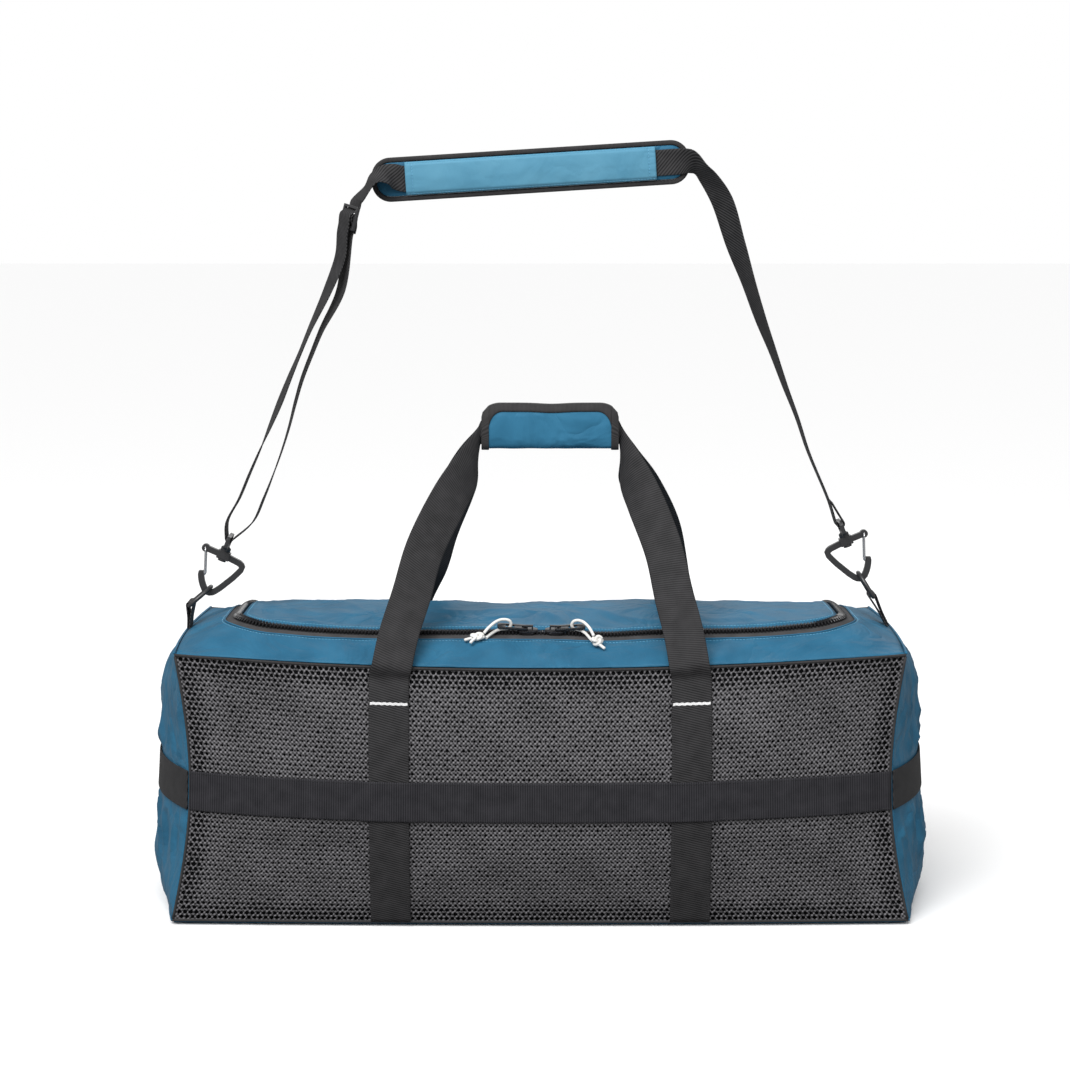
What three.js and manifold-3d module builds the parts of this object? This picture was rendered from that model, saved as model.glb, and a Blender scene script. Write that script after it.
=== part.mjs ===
// A mesh dive gear bag: a soft duffel with mesh sides, coated cloth ends and lid, a U-shaped zip,
// webbing carry handles with a padded wrap, and a shoulder strap with two snap hooks.
// Millimetres. +X to the right, +Y to the back, +Z up. The origin is on the floor, under the middle.

import * as THREE from 'three';
import { mergeVertices } from 'three/addons/utils/BufferGeometryUtils.js';
import Module from 'manifold-3d';

// Body
const baseHalfLength = 418;     // middle to a lower corner
const topHalfLength = 410;      // middle to an upper corner
const cornerHalfDepth = 165;    // middle to the front or back corner seams
const seamBow = 7;              // how far the long seams bow out from the corners
const waist = 19;               // how far the corner seams pull in at half height
const baseLift = 4;             // height of the seam round the base
const topSeamHeight = 296;      // the front seam's height at its middle
const cornerRise = 16;          // how much higher the seam is at the corners
const crestHeight = 343;        // the lid's height along its middle
const sideBulge = 22;           // front and back panels
const endBulge = 40;            // end panels, beyond their bowed seams
const baseEndBow = 18;
const topEndBow = 7;
const clothThickness = 1.6;
const meshThickness = 2;
const seamGap = 0.5;            // between the edges of sewn panels
const baseEdgeRadius = 14;      // the strip in which the base turns up to its seam

// Zip
const zipHalfLength = 350;      // middle to the zip's side runs
const zipFront = 105;           // middle to the zip's front run
const zipBack = 122;            // middle to the hinge line behind the lid
const zipCornerRadius = 46;
const chainWidth = 8;
const chainHeight = 3.4;
const tapeWidth = 10;
const tapeThickness = 1;
const zipGap = 0.4;
const zipSliderLength = 21;
const zipSliderWidth = 13;
const sliderPlate = 2.2;
const sliderClearance = 0.45;   // between a slider, the chain and the tapes
const bridgeLength = 11;        // of the arch that holds the pull
const bridgeWidth = 3.4;
const bridgeBar = 1.7;
const bridgeInner = 3.6;
const pullLength = 35;
const pullWidth = 11;
const pullThickness = 2.4;
const pullTilt = 5;             // degrees, the pull's outer end up
const pullEye = 5;              // length of the hole that the bridge's leg stands in
const cordHoleStart = 15.5;     // from the pull's inner end
const cordHoleLength = 10;
const cordHoleWidth = 6;
const cordDiameter = 3.5;

// Webbing
const webbingClearance = 0.8;   // between a webbing and the cloth that it is sewn to
const handleWidth = 45;
const handleThickness = 2;
const handlePlace = 169;        // middle to each vertical webbing
const handleSeam = 3;           // from the base seam to the webbing's lower end
const handleStandOff = 9;       // how far the webbing stands out from the upper seam as it leaves it
const bandWidth = 45;
const bandThickness = 1.6;
const bandShare = 0.494;        // the band's middle, as a share of the panel's height
const bandRamp = 14;            // the length in which the band steps up over a vertical webbing
const layerGap = 0.5;           // between crossing webbings
const strapWidth = 30;
const strapThickness = 1.6;

// Grip wrap of the carry handles
const gripHeight = 553;         // its middle above the floor
const gripShift = 11.7;         // the grip is pulled to the right of the middle
const gripLength = 160;
const gripTall = 52;
const gripThickness = 22;
const gripWall = 4;
const gripCorner = 12;          // rounding of the wrap's upper corners
const gripBinding = 7;
const bindingThickness = 1.2;
const gripStrapGap = 0.7;       // between the two webbings inside the wrap

// Snap hooks, D-rings and their tabs
const hookBar = 7;
const hookThickness = 7;
const hubWidth = 15;
const hubHeight = 10;
const gateWire = 2.2;
const gateHole = 3.2;
const gateClearance = 0.5;
const swivelPost = 6;
const swivelClearance = 0.35;
const swivelCollar = 12;
const swivelCollarHeight = 4;
const swivelHeadHeight = 2;
const eyeBar = 4.5;
const eyeInner = 7;
const ringWire = 5;
const ringReach = 31;           // from the D-ring's straight bar to its crown, between wire centres
const loopSeat = 0.4;           // between a webbing and the bar that it loops round

// Shoulder pad and strap slider
const padLength = 369;
const padHeight = 51;
const padThickness = 9;
const padBinding = 6;
const padBindingThickness = 7;
const padMiddleX = -11;
const padMiddleHeight = 849;
const padTilt = 3.55;           // degrees, rising to the right
const padRound = 22;
const sleeveLength = 290;
const sleeveThickness = 1.2;
const padGap = 0.4;
const triglideLength = 28;      // along the strap
const triglideWidth = 40;
const triglideThickness = 4;
const triglideBar = 5;
const triglideX = -221;
const triglideHeight = 796;
const triglideTilt = 75;        // degrees above the level, its upper end leaning right
const triglideTwist = -62;      // degrees that its face is turned away from the front

// A hook's centre line: out is towards the bag's end and up is towards the strap, from the hook's
// seat on the swivel.
const hookRows = [
  { out: 22.5, up: -1.5 },
  { out: 12, up: -2 },
  { out: 0, up: -2.5 },
  { out: -12, up: -4 },
  { out: -22, up: -5.5 },
  { out: -25.5, up: -9 },
  { out: -22.5, up: -18 },
  { out: -15.5, up: -31 },
  { out: -6, up: -45.5 },
  { out: -1, up: -50 },
  { out: 5, up: -50 },
  { out: 11.5, up: -43.5 },
  { out: 16, up: -36 },
  { out: 18.5, up: -29 },
];
const gateEnd = { out: 12.9, up: -31 };

// What differs between the two ends of the bag: how far in from the body's end and how high above its
// upper corners the swivel's seat on the hook is, how far the hook and the D-ring lean inwards in
// degrees, and how far beyond the body's end the ring's tab is rooted.
const endRows = [
  { name: 'left', end: -1, seatIn: 38, seatUp: 91, hookLean: 21, ringLean: 50, rootOut: 4 },
  { name: 'right', end: 1, seatIn: 50.5, seatUp: 108, hookLean: 20.3, ringLean: 31.6, rootOut: 0 },
];

// Dents and folds. s runs from -1 (left) to 1 (right) and v from 0 (base) to 1 (top seam); reachS and
// reachV are how far a dent spreads, and deep is its depth in millimetres (minus swells).
const sideFolds = [
  { s: -0.80, v: 0.78, reachS: 0.10, reachV: 0.18, deep: 4 },
  { s: 0.82, v: 0.74, reachS: 0.09, reachV: 0.20, deep: 4 },
  { s: -0.62, v: 0.30, reachS: 0.16, reachV: 0.14, deep: 3 },
  { s: 0.10, v: 0.80, reachS: 0.22, reachV: 0.12, deep: 3 },
  { s: 0.66, v: 0.24, reachS: 0.16, reachV: 0.14, deep: 3 },
  { s: 0.00, v: 0.26, reachS: 0.25, reachV: 0.12, deep: -3 },
];
const endFolds = [
  { s: -0.55, v: 0.72, reachS: 0.12, reachV: 0.22, deep: 6 },
  { s: 0.50, v: 0.76, reachS: 0.12, reachV: 0.20, deep: 5 },
  { s: 0.05, v: 0.30, reachS: 0.14, reachV: 0.20, deep: 5 },
  { s: -0.60, v: 0.22, reachS: 0.12, reachV: 0.16, deep: 4 },
];
const lidFolds = [
  { s: -0.81, v: -0.56, reachS: 0.14, reachV: 0.30, deep: -8 },
  { s: 0.81, v: -0.56, reachS: 0.14, reachV: 0.30, deep: -8 },
  { s: -0.42, v: -0.30, reachS: 0.14, reachV: 0.35, deep: 3 },
  { s: 0.18, v: -0.50, reachS: 0.10, reachV: 0.40, deep: 3 },
  { s: 0.60, v: 0.10, reachS: 0.16, reachV: 0.30, deep: 3 },
  { s: -0.05, v: 0.35, reachS: 0.22, reachV: 0.25, deep: 4 },
];

// A handle's free rise from the panel to the grip: shares of the way across to the grip's end, back
// to the grip's middle and up from the seam to the grip, the width as a share of the webbing's, the
// turn of its width from level to upright in degrees, and the depth of its middle's cup.
const riserRows = [
  { across: 0.03, back: 0.00, up: 0.00, width: 1.00, turn: 7, cup: 0 },
  { across: 0.10, back: 0.11, up: 0.13, width: 1.00, turn: 13, cup: 0.3 },
  { across: 0.23, back: 0.31, up: 0.29, width: 1.00, turn: 18, cup: 0.6 },
  { across: 0.37, back: 0.48, up: 0.48, width: 1.00, turn: 28, cup: 1.0 },
  { across: 0.64, back: 0.70, up: 0.69, width: 1.00, turn: 37, cup: 1.5 },
  { across: 0.84, back: 0.88, up: 0.82, width: 0.92, turn: 58, cup: 2.5 },
];

// The shoulder strap's free runs: shares of the way across and up from the hook's eye to the pad's end
// (right) or to the slider (left), the webbing's twist in degrees, 90 where its edge faces the front, and
// how far its middle stands forward, as a share of its width.
const rightRunRows = [
  { across: 0.935, up: 0.978, twist: 58, forward: 0.30 },
  { across: 0.885, up: 0.955, twist: 50, forward: 0.20 },
  { across: 0.793, up: 0.893, twist: 38, forward: 0.07 },
  { across: 0.700, up: 0.773, twist: 46 },
  { across: 0.617, up: 0.672, twist: 62 },
  { across: 0.530, up: 0.564, twist: 70 },
  { across: 0.450, up: 0.476, twist: 78 },
  { across: 0.369, up: 0.382, twist: 83 },
  { across: 0.287, up: 0.293, twist: 87 },
  { across: 0.213, up: 0.201, twist: 89 },
  { across: 0.071, up: 0.059, twist: 90 },
];
const outerRunRows = [
  { across: -0.025, up: 0.048, twist: -90 },
  { across: 0.080, up: 0.124, twist: -90 },
  { across: 0.165, up: 0.200, twist: -90 },
  { across: 0.253, up: 0.276, twist: -88 },
  { across: 0.338, up: 0.351, twist: -80 },
  { across: 0.421, up: 0.426, twist: -75 },
  { across: 0.501, up: 0.501, twist: -77 },
  { across: 0.585, up: 0.576, twist: -80 },
  { across: 0.668, up: 0.651, twist: -78 },
  { across: 0.820, up: 0.775, twist: -68 },
  { across: 0.925, up: 0.880, twist: -62 },
];
const innerRunRows = [
  { across: 0.925, up: 0.775, twist: -112 },
  { across: 0.765, up: 0.651, twist: -103 },
  { across: 0.683, up: 0.576, twist: -101 },
  { across: 0.606, up: 0.501, twist: -100 },
  { across: 0.547, up: 0.426, twist: -99 },
  { across: 0.495, up: 0.351, twist: -97 },
  { across: 0.433, up: 0.276, twist: -95 },
  { across: 0.360, up: 0.200, twist: -93 },
  { across: 0.280, up: 0.124, twist: -90 },
  { across: 0.187, up: 0.048, twist: -90 },
];

// The strap through the slider, in millimetres from its middle: along it towards the hook, and off it
// on the side away from the bag's middle. The sewn end loops the middle bar, and the strap crosses it.
const sewnEndRows = [
  { along: 17, off: -5.6 },
  { along: 9, off: -5.4 },
  { along: 3, off: -4.0 },
  { along: -2.6, off: -3.2 },
  { along: -4.4, off: 0 },
  { along: -2.6, off: 3.2 },
  { along: 2.6, off: 3.2 },
  { along: 6.5, off: 0 },
  { along: 10, off: -3.1 },
  { along: 20, off: -3.3 },
];
const crossingRows = [
  { along: 20, off: 3.6 },
  { along: 9, off: 4.6 },
  { along: 3, off: 5.8 },
  { along: -3, off: 5.8 },
  { along: -7.4, off: 1.4 },
  { along: -11, off: -3.3 },
  { along: -19, off: -3.5 },
];

// The two zip sliders with their pulls, white cords and knots. A cord's route is chosen by hand, from
// its knot, over the pull, down through the pull's hole and back to the knot.
const zipPulls = [
  {
    name: 'left',
    end: -1,
    place: -13.5,
    knot: { x: -71, y: -123.5, z: 324.8, halfLength: 9, radius: 5.2 },
    route: [
      [-63.7, -122.8, 328.5], [-59.8, -120.6, 333], [-55.4, -118, 336.8], [-50.6, -115, 340], [-44.9, -112.2, 342],
      [-38.7, -110.7, 341.9], [-34.6, -109.8, 340], [-33.3, -108.5, 335.8], [-35.2, -107.2, 332.1],
      [-39.4, -106.9, 330.6], [-44.8, -108, 330.3], [-49.8, -110.6, 329.2], [-54.7, -114.6, 327],
      [-58.7, -118.2, 324.5], [-61.6, -121.6, 322.6],
    ],
  },
  {
    name: 'right',
    end: 1,
    place: 16,
    knot: { x: 64.5, y: -132, z: 321.5, halfLength: 7.4, radius: 6.8 },
    route: [
      [60.6, -127, 326], [58, -124.2, 331], [54.6, -120.2, 335.6], [49.9, -115.4, 339.3], [45.1, -111.9, 340.9],
      [41.2, -110.4, 340.9], [37.5, -109.6, 339.1], [36, -108.3, 335], [37.9, -107, 331.2],
      [42, -106.8, 329.5], [46.8, -108.5, 328.8], [50.9, -112.3, 326.9], [54.3, -117.2, 324.2],
      [57.4, -122, 321.2], [60.2, -126.2, 319.4],
    ],
  },
];

const wasm = await Module();
wasm.setup();

const bag = new THREE.Group();

const blueCloth = { color: 0x3b7ba5, roughness: 0.75, metalness: 0 };
const paleBlueCloth = { color: 0x63a5c8, roughness: 0.75, metalness: 0 };
const darkMesh = { color: 0x3f3f44, roughness: 0.9, metalness: 0 };
const darkWebbing = { color: 0x2b2b2e, roughness: 0.85, metalness: 0 };
const charcoalWebbing = { color: 0x404046, roughness: 0.85, metalness: 0 };
const greyTape = { color: 0x6f6f73, roughness: 0.85, metalness: 0 };
const blackPlastic = { color: 0x1c1c1e, roughness: 0.45, metalness: 0 };
const whiteCord = { color: 0xf0efea, roughness: 0.9, metalness: 0 };
const steel = { color: 0xc9cbd0, roughness: 0.3, metalness: 1 };

const yAxis = new THREE.Vector3(0, 1, 0);

function vec(x, y, z) {
  return new THREE.Vector3(x, y, z);
}

function mix(a, b, t) {
  return a + (b - a) * t;
}

function radians(degrees) {
  return degrees * Math.PI / 180;
}

// Even shares from low to high, ends included.
function steps(low, high, count) {
  return Array.from({ length: count + 1 }, (_, i) => mix(low, high, i / count));
}

// A smooth rise from 0 to 1 between low and high.
function smooth(low, high, value) {
  const t = Math.min(1, Math.max(0, (value - low) / (high - low)));
  return t * t * (3 - 2 * t);
}

function dent(folds, s, v) {
  let deep = 0;
  for (const fold of folds) {
    const a = (s - fold.s) / fold.reachS;
    const b = (v - fold.v) / fold.reachV;
    deep += fold.deep * Math.exp(-a * a - b * b);
  }
  return deep;
}

function addPiece(name, geometry, finish, parent = bag) {
  const mesh = new THREE.Mesh(geometry, new THREE.MeshStandardMaterial(finish));
  mesh.name = name;
  parent.add(mesh);
}

// A geometry from shared points and triangles, turned so that its faces point out.
function solidFrom(points, triangles) {
  let volume = 0;
  for (const [a, b, c] of triangles) {
    volume += points[a].dot(points[b].clone().cross(points[c]));
  }
  const turned = volume < 0 ? triangles.map(([a, b, c]) => [a, c, b]) : triangles;
  const geometry = new THREE.BufferGeometry();
  geometry.setAttribute('position', new THREE.Float32BufferAttribute(points.flatMap((p) => p.toArray()), 3));
  geometry.setIndex(turned.flat());
  geometry.computeVertexNormals();
  return geometry;
}

// A solid wall through sections. Each section has a row of outer points and a row of inner points
// behind them. A round wall's rows join at their ends, and a closed one's last section joins its first.
function wall(sections, { round = false, closed = false } = {}) {
  const count = sections[0].outer.length;
  const points = sections.flatMap((section) => [...section.outer, ...section.inner]);
  const at = (i, side, j) => (i % sections.length) * 2 * count + side * count + (j % count);
  const triangles = [];
  const quad = (a, b, c, d) => triangles.push([a, b, c], [a, c, d]);
  const rows = closed ? sections.length : sections.length - 1;
  const columns = round ? count : count - 1;
  for (let i = 0; i < rows; i += 1) {
    for (let j = 0; j < columns; j += 1) {
      quad(at(i, 0, j), at(i, 0, j + 1), at(i + 1, 0, j + 1), at(i + 1, 0, j));
      quad(at(i, 1, j), at(i + 1, 1, j), at(i + 1, 1, j + 1), at(i, 1, j + 1));
    }
    if (!round) {
      quad(at(i, 0, 0), at(i + 1, 0, 0), at(i + 1, 1, 0), at(i, 1, 0));
      quad(at(i, 0, count - 1), at(i, 1, count - 1), at(i + 1, 1, count - 1), at(i + 1, 0, count - 1));
    }
  }
  if (!closed) {
    const last = sections.length - 1;
    for (let j = 0; j < columns; j += 1) {
      quad(at(0, 0, j), at(0, 1, j), at(0, 1, j + 1), at(0, 0, j + 1));
      quad(at(last, 0, j), at(last, 0, j + 1), at(last, 1, j + 1), at(last, 1, j));
    }
  }
  return solidFrom(points, triangles);
}

// A wall of even thickness behind a surface that is a function of two shares.
function surfaceWall(surface, us, vs, thickness, inwards) {
  const step = 0.002;
  const sections = us.map((u) => {
    const outer = vs.map((v) => surface(u, v));
    const inner = vs.map((v, j) => {
      const along = surface(u + step, v).sub(surface(u - step, v));
      const across = surface(u, v + step).sub(surface(u, v - step));
      const normal = along.cross(across).normalize();
      const sign = Math.sign(normal.dot(inwards)) || 1;
      return outer[j].clone().addScaledVector(normal, sign * thickness);
    });
    return { outer, inner };
  });
  return wall(sections);
}

// A webbing through stations. Each station has its middle, the direction and size of its width, the
// direction that it faces, and how far its middle is cupped.
function ribbon(stations, thickness) {
  const sides = stations.some(({ cup }) => cup) ? [-1, 0, 1] : [-1, 1];
  const sections = stations.map(({ middle, wide, width, face, cup = 0 }) => {
    const row = (shift) => sides.map((side) => middle.clone()
      .addScaledVector(wide, side * width / 2)
      .addScaledVector(face, shift + (side === 0 ? cup : 0)));
    return { outer: row(thickness / 2), inner: row(-thickness / 2) };
  });
  return wall(sections);
}

// Stations along a path. A row without a direction for its width gets one from its twist, in degrees
// from the upright plane of the path.
function pathStations(rows) {
  return rows.map((row, i) => {
    const before = rows[Math.max(i - 1, 0)].middle;
    const after = rows[Math.min(i + 1, rows.length - 1)].middle;
    const along = after.clone().sub(before).normalize();
    const twist = radians(row.twist ?? 0);
    const level = yAxis.clone().cross(along).normalize();
    const side = yAxis.clone().addScaledVector(along, -yAxis.dot(along)).normalize();
    const turned = level.multiplyScalar(Math.cos(twist)).addScaledVector(side, Math.sin(twist));
    const wide = row.wide ?? turned;
    const face = along.cross(wide).normalize();
    return { ...row, wide, face };
  });
}

function disc(radius, sides) {
  const shape = new THREE.Shape();
  for (let i = 0; i < sides; i += 1) {
    const angle = (i + 0.5) / sides * 2 * Math.PI;
    const x = radius * Math.cos(angle);
    const y = radius * Math.sin(angle);
    if (i === 0) {
      shape.moveTo(x, y);
    } else {
      shape.lineTo(x, y);
    }
  }
  shape.closePath();
  return shape;
}

function tubeAlong(curve, radius, sides, count) {
  return new THREE.ExtrudeGeometry(disc(radius, sides), { extrudePath: curve, steps: count });
}

// A plate from an outline, with its thickness centred on its own plane.
function plate(shape, thickness, curveSegments = 6) {
  const geometry = new THREE.ExtrudeGeometry(shape, { depth: thickness, bevelEnabled: false, curveSegments });
  geometry.translate(0, 0, -thickness / 2);
  return geometry;
}

function toManifold(geometry) {
  const bare = geometry.clone();
  bare.deleteAttribute('normal');
  bare.deleteAttribute('uv');
  const merged = mergeVertices(bare, 1e-3);
  return new wasm.Manifold(new wasm.Mesh({
    numProp: 3,
    vertProperties: new Float32Array(merged.attributes.position.array),
    triVerts: new Uint32Array(merged.index.array),
  }));
}

function fromManifold(solid) {
  const mesh = solid.getMesh();
  const geometry = new THREE.BufferGeometry();
  geometry.setAttribute('position', new THREE.BufferAttribute(mesh.vertProperties, 3));
  geometry.setIndex(new THREE.BufferAttribute(mesh.triVerts, 1));
  geometry.computeVertexNormals();
  return geometry;
}

function joined(geometries, cuts = []) {
  let solid = toManifold(geometries[0]);
  for (const geometry of geometries.slice(1)) {
    solid = solid.add(toManifold(geometry));
  }
  for (const geometry of cuts) {
    solid = solid.subtract(toManifold(geometry));
  }
  return fromManifold(solid);
}

// The body's surfaces

function halfLengthAt(v) {
  return mix(baseHalfLength, topHalfLength, v) - waist * Math.sin(Math.PI * v);
}

function topSeamZ(s) {
  return topSeamHeight + cornerRise * s * s;
}

function seamHalfDepth(s) {
  return cornerHalfDepth + seamBow * (1 - s * s);
}

// The band holds the cloth smooth, so folds fade out towards it.
function freeOfBand(v) {
  return smooth(0.08, 0.2, Math.abs(v - bandShare));
}

// The front (side -1) or back (side 1) panel at s along it and v up it.
function sidePoint(side, s, v) {
  const swell = (1 - s ** 4) * (1 - (2 * v - 1) ** 2);
  const fade = smooth(0, 0.12, v) * smooth(0, 0.12, 1 - v) * smooth(0, 0.08, 1 - Math.abs(s)) * freeOfBand(v);
  const out = seamHalfDepth(s) + sideBulge * swell - fade * dent(sideFolds, s, v);
  return vec(s * halfLengthAt(v), side * out, mix(baseLift, topSeamZ(s), v));
}

// An end panel at w across it, from -1 (front) to 1 (back), and v up it.
function endPoint(end, w, v) {
  const bow = mix(baseEndBow, topEndBow, v) * (1 - w * w);
  const swell = (1 - w * w) * (1 - (2 * v - 1) ** 4);
  const fade = smooth(0, 0.12, v) * smooth(0, 0.12, 1 - v) * smooth(0, 0.15, 1 - Math.abs(w)) * freeOfBand(v);
  const out = halfLengthAt(v) + bow + endBulge * swell - fade * dent(endFolds, w, v);
  return vec(end * out, w * cornerHalfDepth, mix(baseLift, topSeamZ(1), v));
}

// The top's height over a place in plan.
function topHeight(x, y) {
  const w = y / seamHalfDepth(x / topHalfLength);
  const s = x / (topHalfLength + topEndBow * (1 - w * w));
  const rise = (crestHeight - topSeamZ(s)) * (1 - s ** 10) * (1 - w * w);
  const inside = smooth(0, 0.2, 1 - Math.abs(w)) * smooth(0, 0.1, 1 - Math.abs(s));
  return topSeamZ(s) + rise - inside * dent(lidFolds, s, w);
}

function onTop(x, y, lift = 0) {
  return vec(x, y, topHeight(x, y) + lift);
}

function topNormal(x, y) {
  const step = 0.5;
  const dx = (topHeight(x + step, y) - topHeight(x - step, y)) / (2 * step);
  const dy = (topHeight(x, y + step) - topHeight(x, y - step)) / (2 * step);
  return vec(-dx, -dy, 1).normalize();
}

// A wall that follows the top, through rows of plan points, between two heights off the surface.
function topWall(rows, low, high, options) {
  const lifted = (row, lift) => row.map(([x, y]) => onTop(x, y).addScaledVector(topNormal(x, y), lift));
  return wall(rows.map((row) => ({ outer: lifted(row, high), inner: lifted(row, low) })), options);
}

// Plan of the zip: one U from the left hinge end, round the front, to the right hinge end, at a
// distance out from the middle of the teeth. The corners keep one centre.
function zipPlan(out, frontSteps, cornerSteps, sideSteps) {
  const centreX = zipHalfLength - zipCornerRadius;
  const centreY = zipFront - zipCornerRadius;
  const radius = zipCornerRadius + out;
  const left = [];
  for (const y of steps(zipBack - zipGap, -centreY, sideSteps)) {
    left.push([-zipHalfLength - out, y]);
  }
  for (const angle of steps(0, Math.PI / 2, cornerSteps).slice(1)) {
    left.push([-centreX - radius * Math.cos(angle), -centreY - radius * Math.sin(angle)]);
  }
  const front = steps(-centreX, centreX, frontSteps).slice(1, -1).map((x) => [x, -zipFront - out]);
  const right = left.map(([x, y]) => [-x, y]).reverse();
  return [...left, ...front, ...right];
}

const frontZipSteps = 16;
const cornerZipSteps = 6;
const sideZipSteps = 3;

function zipStrip(innerOut, outerOut, low, high) {
  const near = zipPlan(innerOut, frontZipSteps, cornerZipSteps, sideZipSteps);
  const far = zipPlan(outerOut, frontZipSteps, cornerZipSteps, sideZipSteps);
  return topWall(near.map((place, i) => [place, far[i]]), low, high);
}

// Steps across an end panel, which its band shares.
function endSteps(edge) {
  return [-edge, ...steps(-1, 1, 8).slice(1, -1), edge];
}

function buildBody() {
  const alongSteps = steps(-1, 1, 20);
  const upSteps = steps(0, 1, 8);
  for (const [name, side] of [['front_mesh_panel', -1], ['back_mesh_panel', 1]]) {
    const surface = (s, v) => sidePoint(side, s, v);
    addPiece(name, surfaceWall(surface, alongSteps, upSteps, meshThickness, vec(0, -side, 0)), darkMesh);
  }

  // The end panels start behind the long panels' edges.
  const inset = (meshThickness + seamGap) / cornerHalfDepth;
  for (const [name, end] of [['end_panel_left', -1], ['end_panel_right', 1]]) {
    const surface = (w, v) => endPoint(end, w, v);
    addPiece(name, surfaceWall(surface, endSteps(1 - inset), upSteps, clothThickness, vec(-end, 0, 0)), blueCloth);
  }
  addPiece('base_panel', basePanel(), blueCloth);
}

// The base: flat where it stands, turned up along its edges to meet the panels' seam.
function basePanel() {
  const inset = meshThickness + seamGap;
  const lift = (x, y) => {
    const toSide = seamHalfDepth(x / baseHalfLength) - Math.abs(y);
    const endReach = baseHalfLength + baseEndBow * (1 - (y / cornerHalfDepth) ** 2);
    const toEnd = endReach - Math.abs(x);
    const toSeam = Math.min(toSide, toEnd, baseEdgeRadius);
    return baseLift * (1 - toSeam / baseEdgeRadius) ** 2;
  };
  const edge = baseEdgeRadius / baseHalfLength;
  const us = [-1, -1 + edge * 0.5, ...steps(-1 + edge, 1 - edge, 7), 1 - edge * 0.5, 1];
  const sideEdge = baseEdgeRadius / cornerHalfDepth;
  const ws = [-1, -1 + sideEdge * 0.5, ...steps(-1 + sideEdge, 1 - sideEdge, 4), 1 - sideEdge * 0.5, 1];
  const sections = us.map((u) => {
    const place = ws.map((w) => {
      const x = u * (baseHalfLength - inset + baseEndBow * (1 - w * w));
      const y = w * (seamHalfDepth(u) - inset);
      return [x, y];
    });
    return {
      outer: place.map(([x, y]) => vec(x, y, lift(x, y))),
      inner: place.map(([x, y]) => vec(x, y, lift(x, y) + clothThickness)),
    };
  });
  return wall(sections);
}

// The ring of cloth round the zip and the lid.
function topSurround() {
  const inset = meshThickness + seamGap;
  const zipEdge = chainWidth / 2 + tapeWidth + 2 * zipGap;
  const centreX = zipHalfLength - zipCornerRadius;
  const centreY = zipFront - zipCornerRadius;
  const sideY = (x) => seamHalfDepth(x / topHalfLength) - inset;
  const endX = (y) => topHalfLength + topEndBow * (1 - (y / cornerHalfDepth) ** 2) - inset;
  const corner = cornerHalfDepth - inset;
  const near = zipPlan(zipEdge, frontZipSteps, cornerZipSteps, sideZipSteps);
  const far = near.map(([x, y]) => {
    if (y >= -centreY) {
      return [Math.sign(x) * endX(y), y];
    }
    if (Math.abs(x) <= centreX) {
      return [x, -sideY(x)];
    }
    const angle = Math.atan2(-y - centreY, Math.abs(x) - centreX);
    const share = angle / (Math.PI / 4);
    if (share <= 1) {
      const along = mix(-centreY, -corner, share);
      return [Math.sign(x) * endX(along), along];
    }
    const across = mix(endX(corner), centreX, share - 1);
    return [Math.sign(x) * across, -sideY(across)];
  });
  // Behind the hinge line the ring goes straight across.
  const backNear = [];
  const backFar = [];
  const hinge = zipBack + zipGap;
  const hingeEnd = zipHalfLength + zipEdge;
  backNear.push([hingeEnd, hinge]);
  backFar.push([endX(corner), corner]);
  for (const x of steps(hingeEnd, -hingeEnd, 10).slice(1, -1)) {
    backNear.push([x, hinge]);
    backFar.push([x, sideY(x)]);
  }
  backNear.push([-hingeEnd, hinge]);
  backFar.push([-endX(corner), corner]);
  const inner = [...near, ...backNear];
  const outer = [...far, ...backFar];
  const rows = inner.map(([x, y], i) => steps(0, 1, 2)
    .map((share) => [mix(x, outer[i][0], share), mix(y, outer[i][1], share)]));
  return topWall(rows, -clothThickness, 0, { closed: true });
}

// The lid: a rectangle with two round front corners, hinged along its straight back edge.
function lidPanel() {
  const zipEdge = chainWidth / 2 + tapeWidth + 2 * zipGap;
  const halfX = zipHalfLength - zipEdge;
  const front = zipFront - zipEdge;
  const round = zipCornerRadius - zipEdge;
  const xs = [
    ...steps(0, 1, 3).map((share) => -halfX + round * (1 - Math.cos(share * Math.PI / 2))),
    ...steps(-halfX + round, halfX - round, 11).slice(1, -1),
    ...steps(1, 0, 3).map((share) => halfX - round * (1 - Math.cos(share * Math.PI / 2))),
  ];
  const rows = xs.map((x) => {
    const beyond = Math.max(0, Math.abs(x) - (halfX - round));
    const frontY = -(front - round + Math.sqrt(Math.max(0, round * round - beyond * beyond)));
    return steps(frontY, zipBack - zipGap, 5).map((y) => [x, y]);
  });
  return topWall(rows, -clothThickness, 0);
}

function buildTop() {
  addPiece('top_surround', topSurround(), blueCloth);
  addPiece('lid_panel', lidPanel(), blueCloth);
  const chain = chainWidth / 2;
  const tape = chain + zipGap;
  addPiece('zip_chain', zipStrip(-chain, chain, tapeLow, chainTop), blackPlastic);
  addPiece('zip_tape_outer', zipStrip(tape, tape + tapeWidth, tapeLow, tapeTop), greyTape);
  addPiece('zip_tape_inner', zipStrip(-tape - tapeWidth, -tape, tapeLow, tapeTop), greyTape);
}

// The place, upward direction and outward direction at x and v of a long panel, lying off its cloth.
function offSide(side, x, v, off) {
  const s = x / halfLengthAt(v);
  const step = 0.004;
  const along = sidePoint(side, s + step, v).sub(sidePoint(side, s - step, v)).normalize();
  const up = sidePoint(side, s, v + step).sub(sidePoint(side, s, v - step)).normalize();
  const normal = along.clone().cross(up).normalize();
  normal.multiplyScalar(Math.sign(normal.y * side) || 1);
  return { middle: sidePoint(side, s, v).addScaledVector(normal, off), along, up, normal };
}

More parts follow.
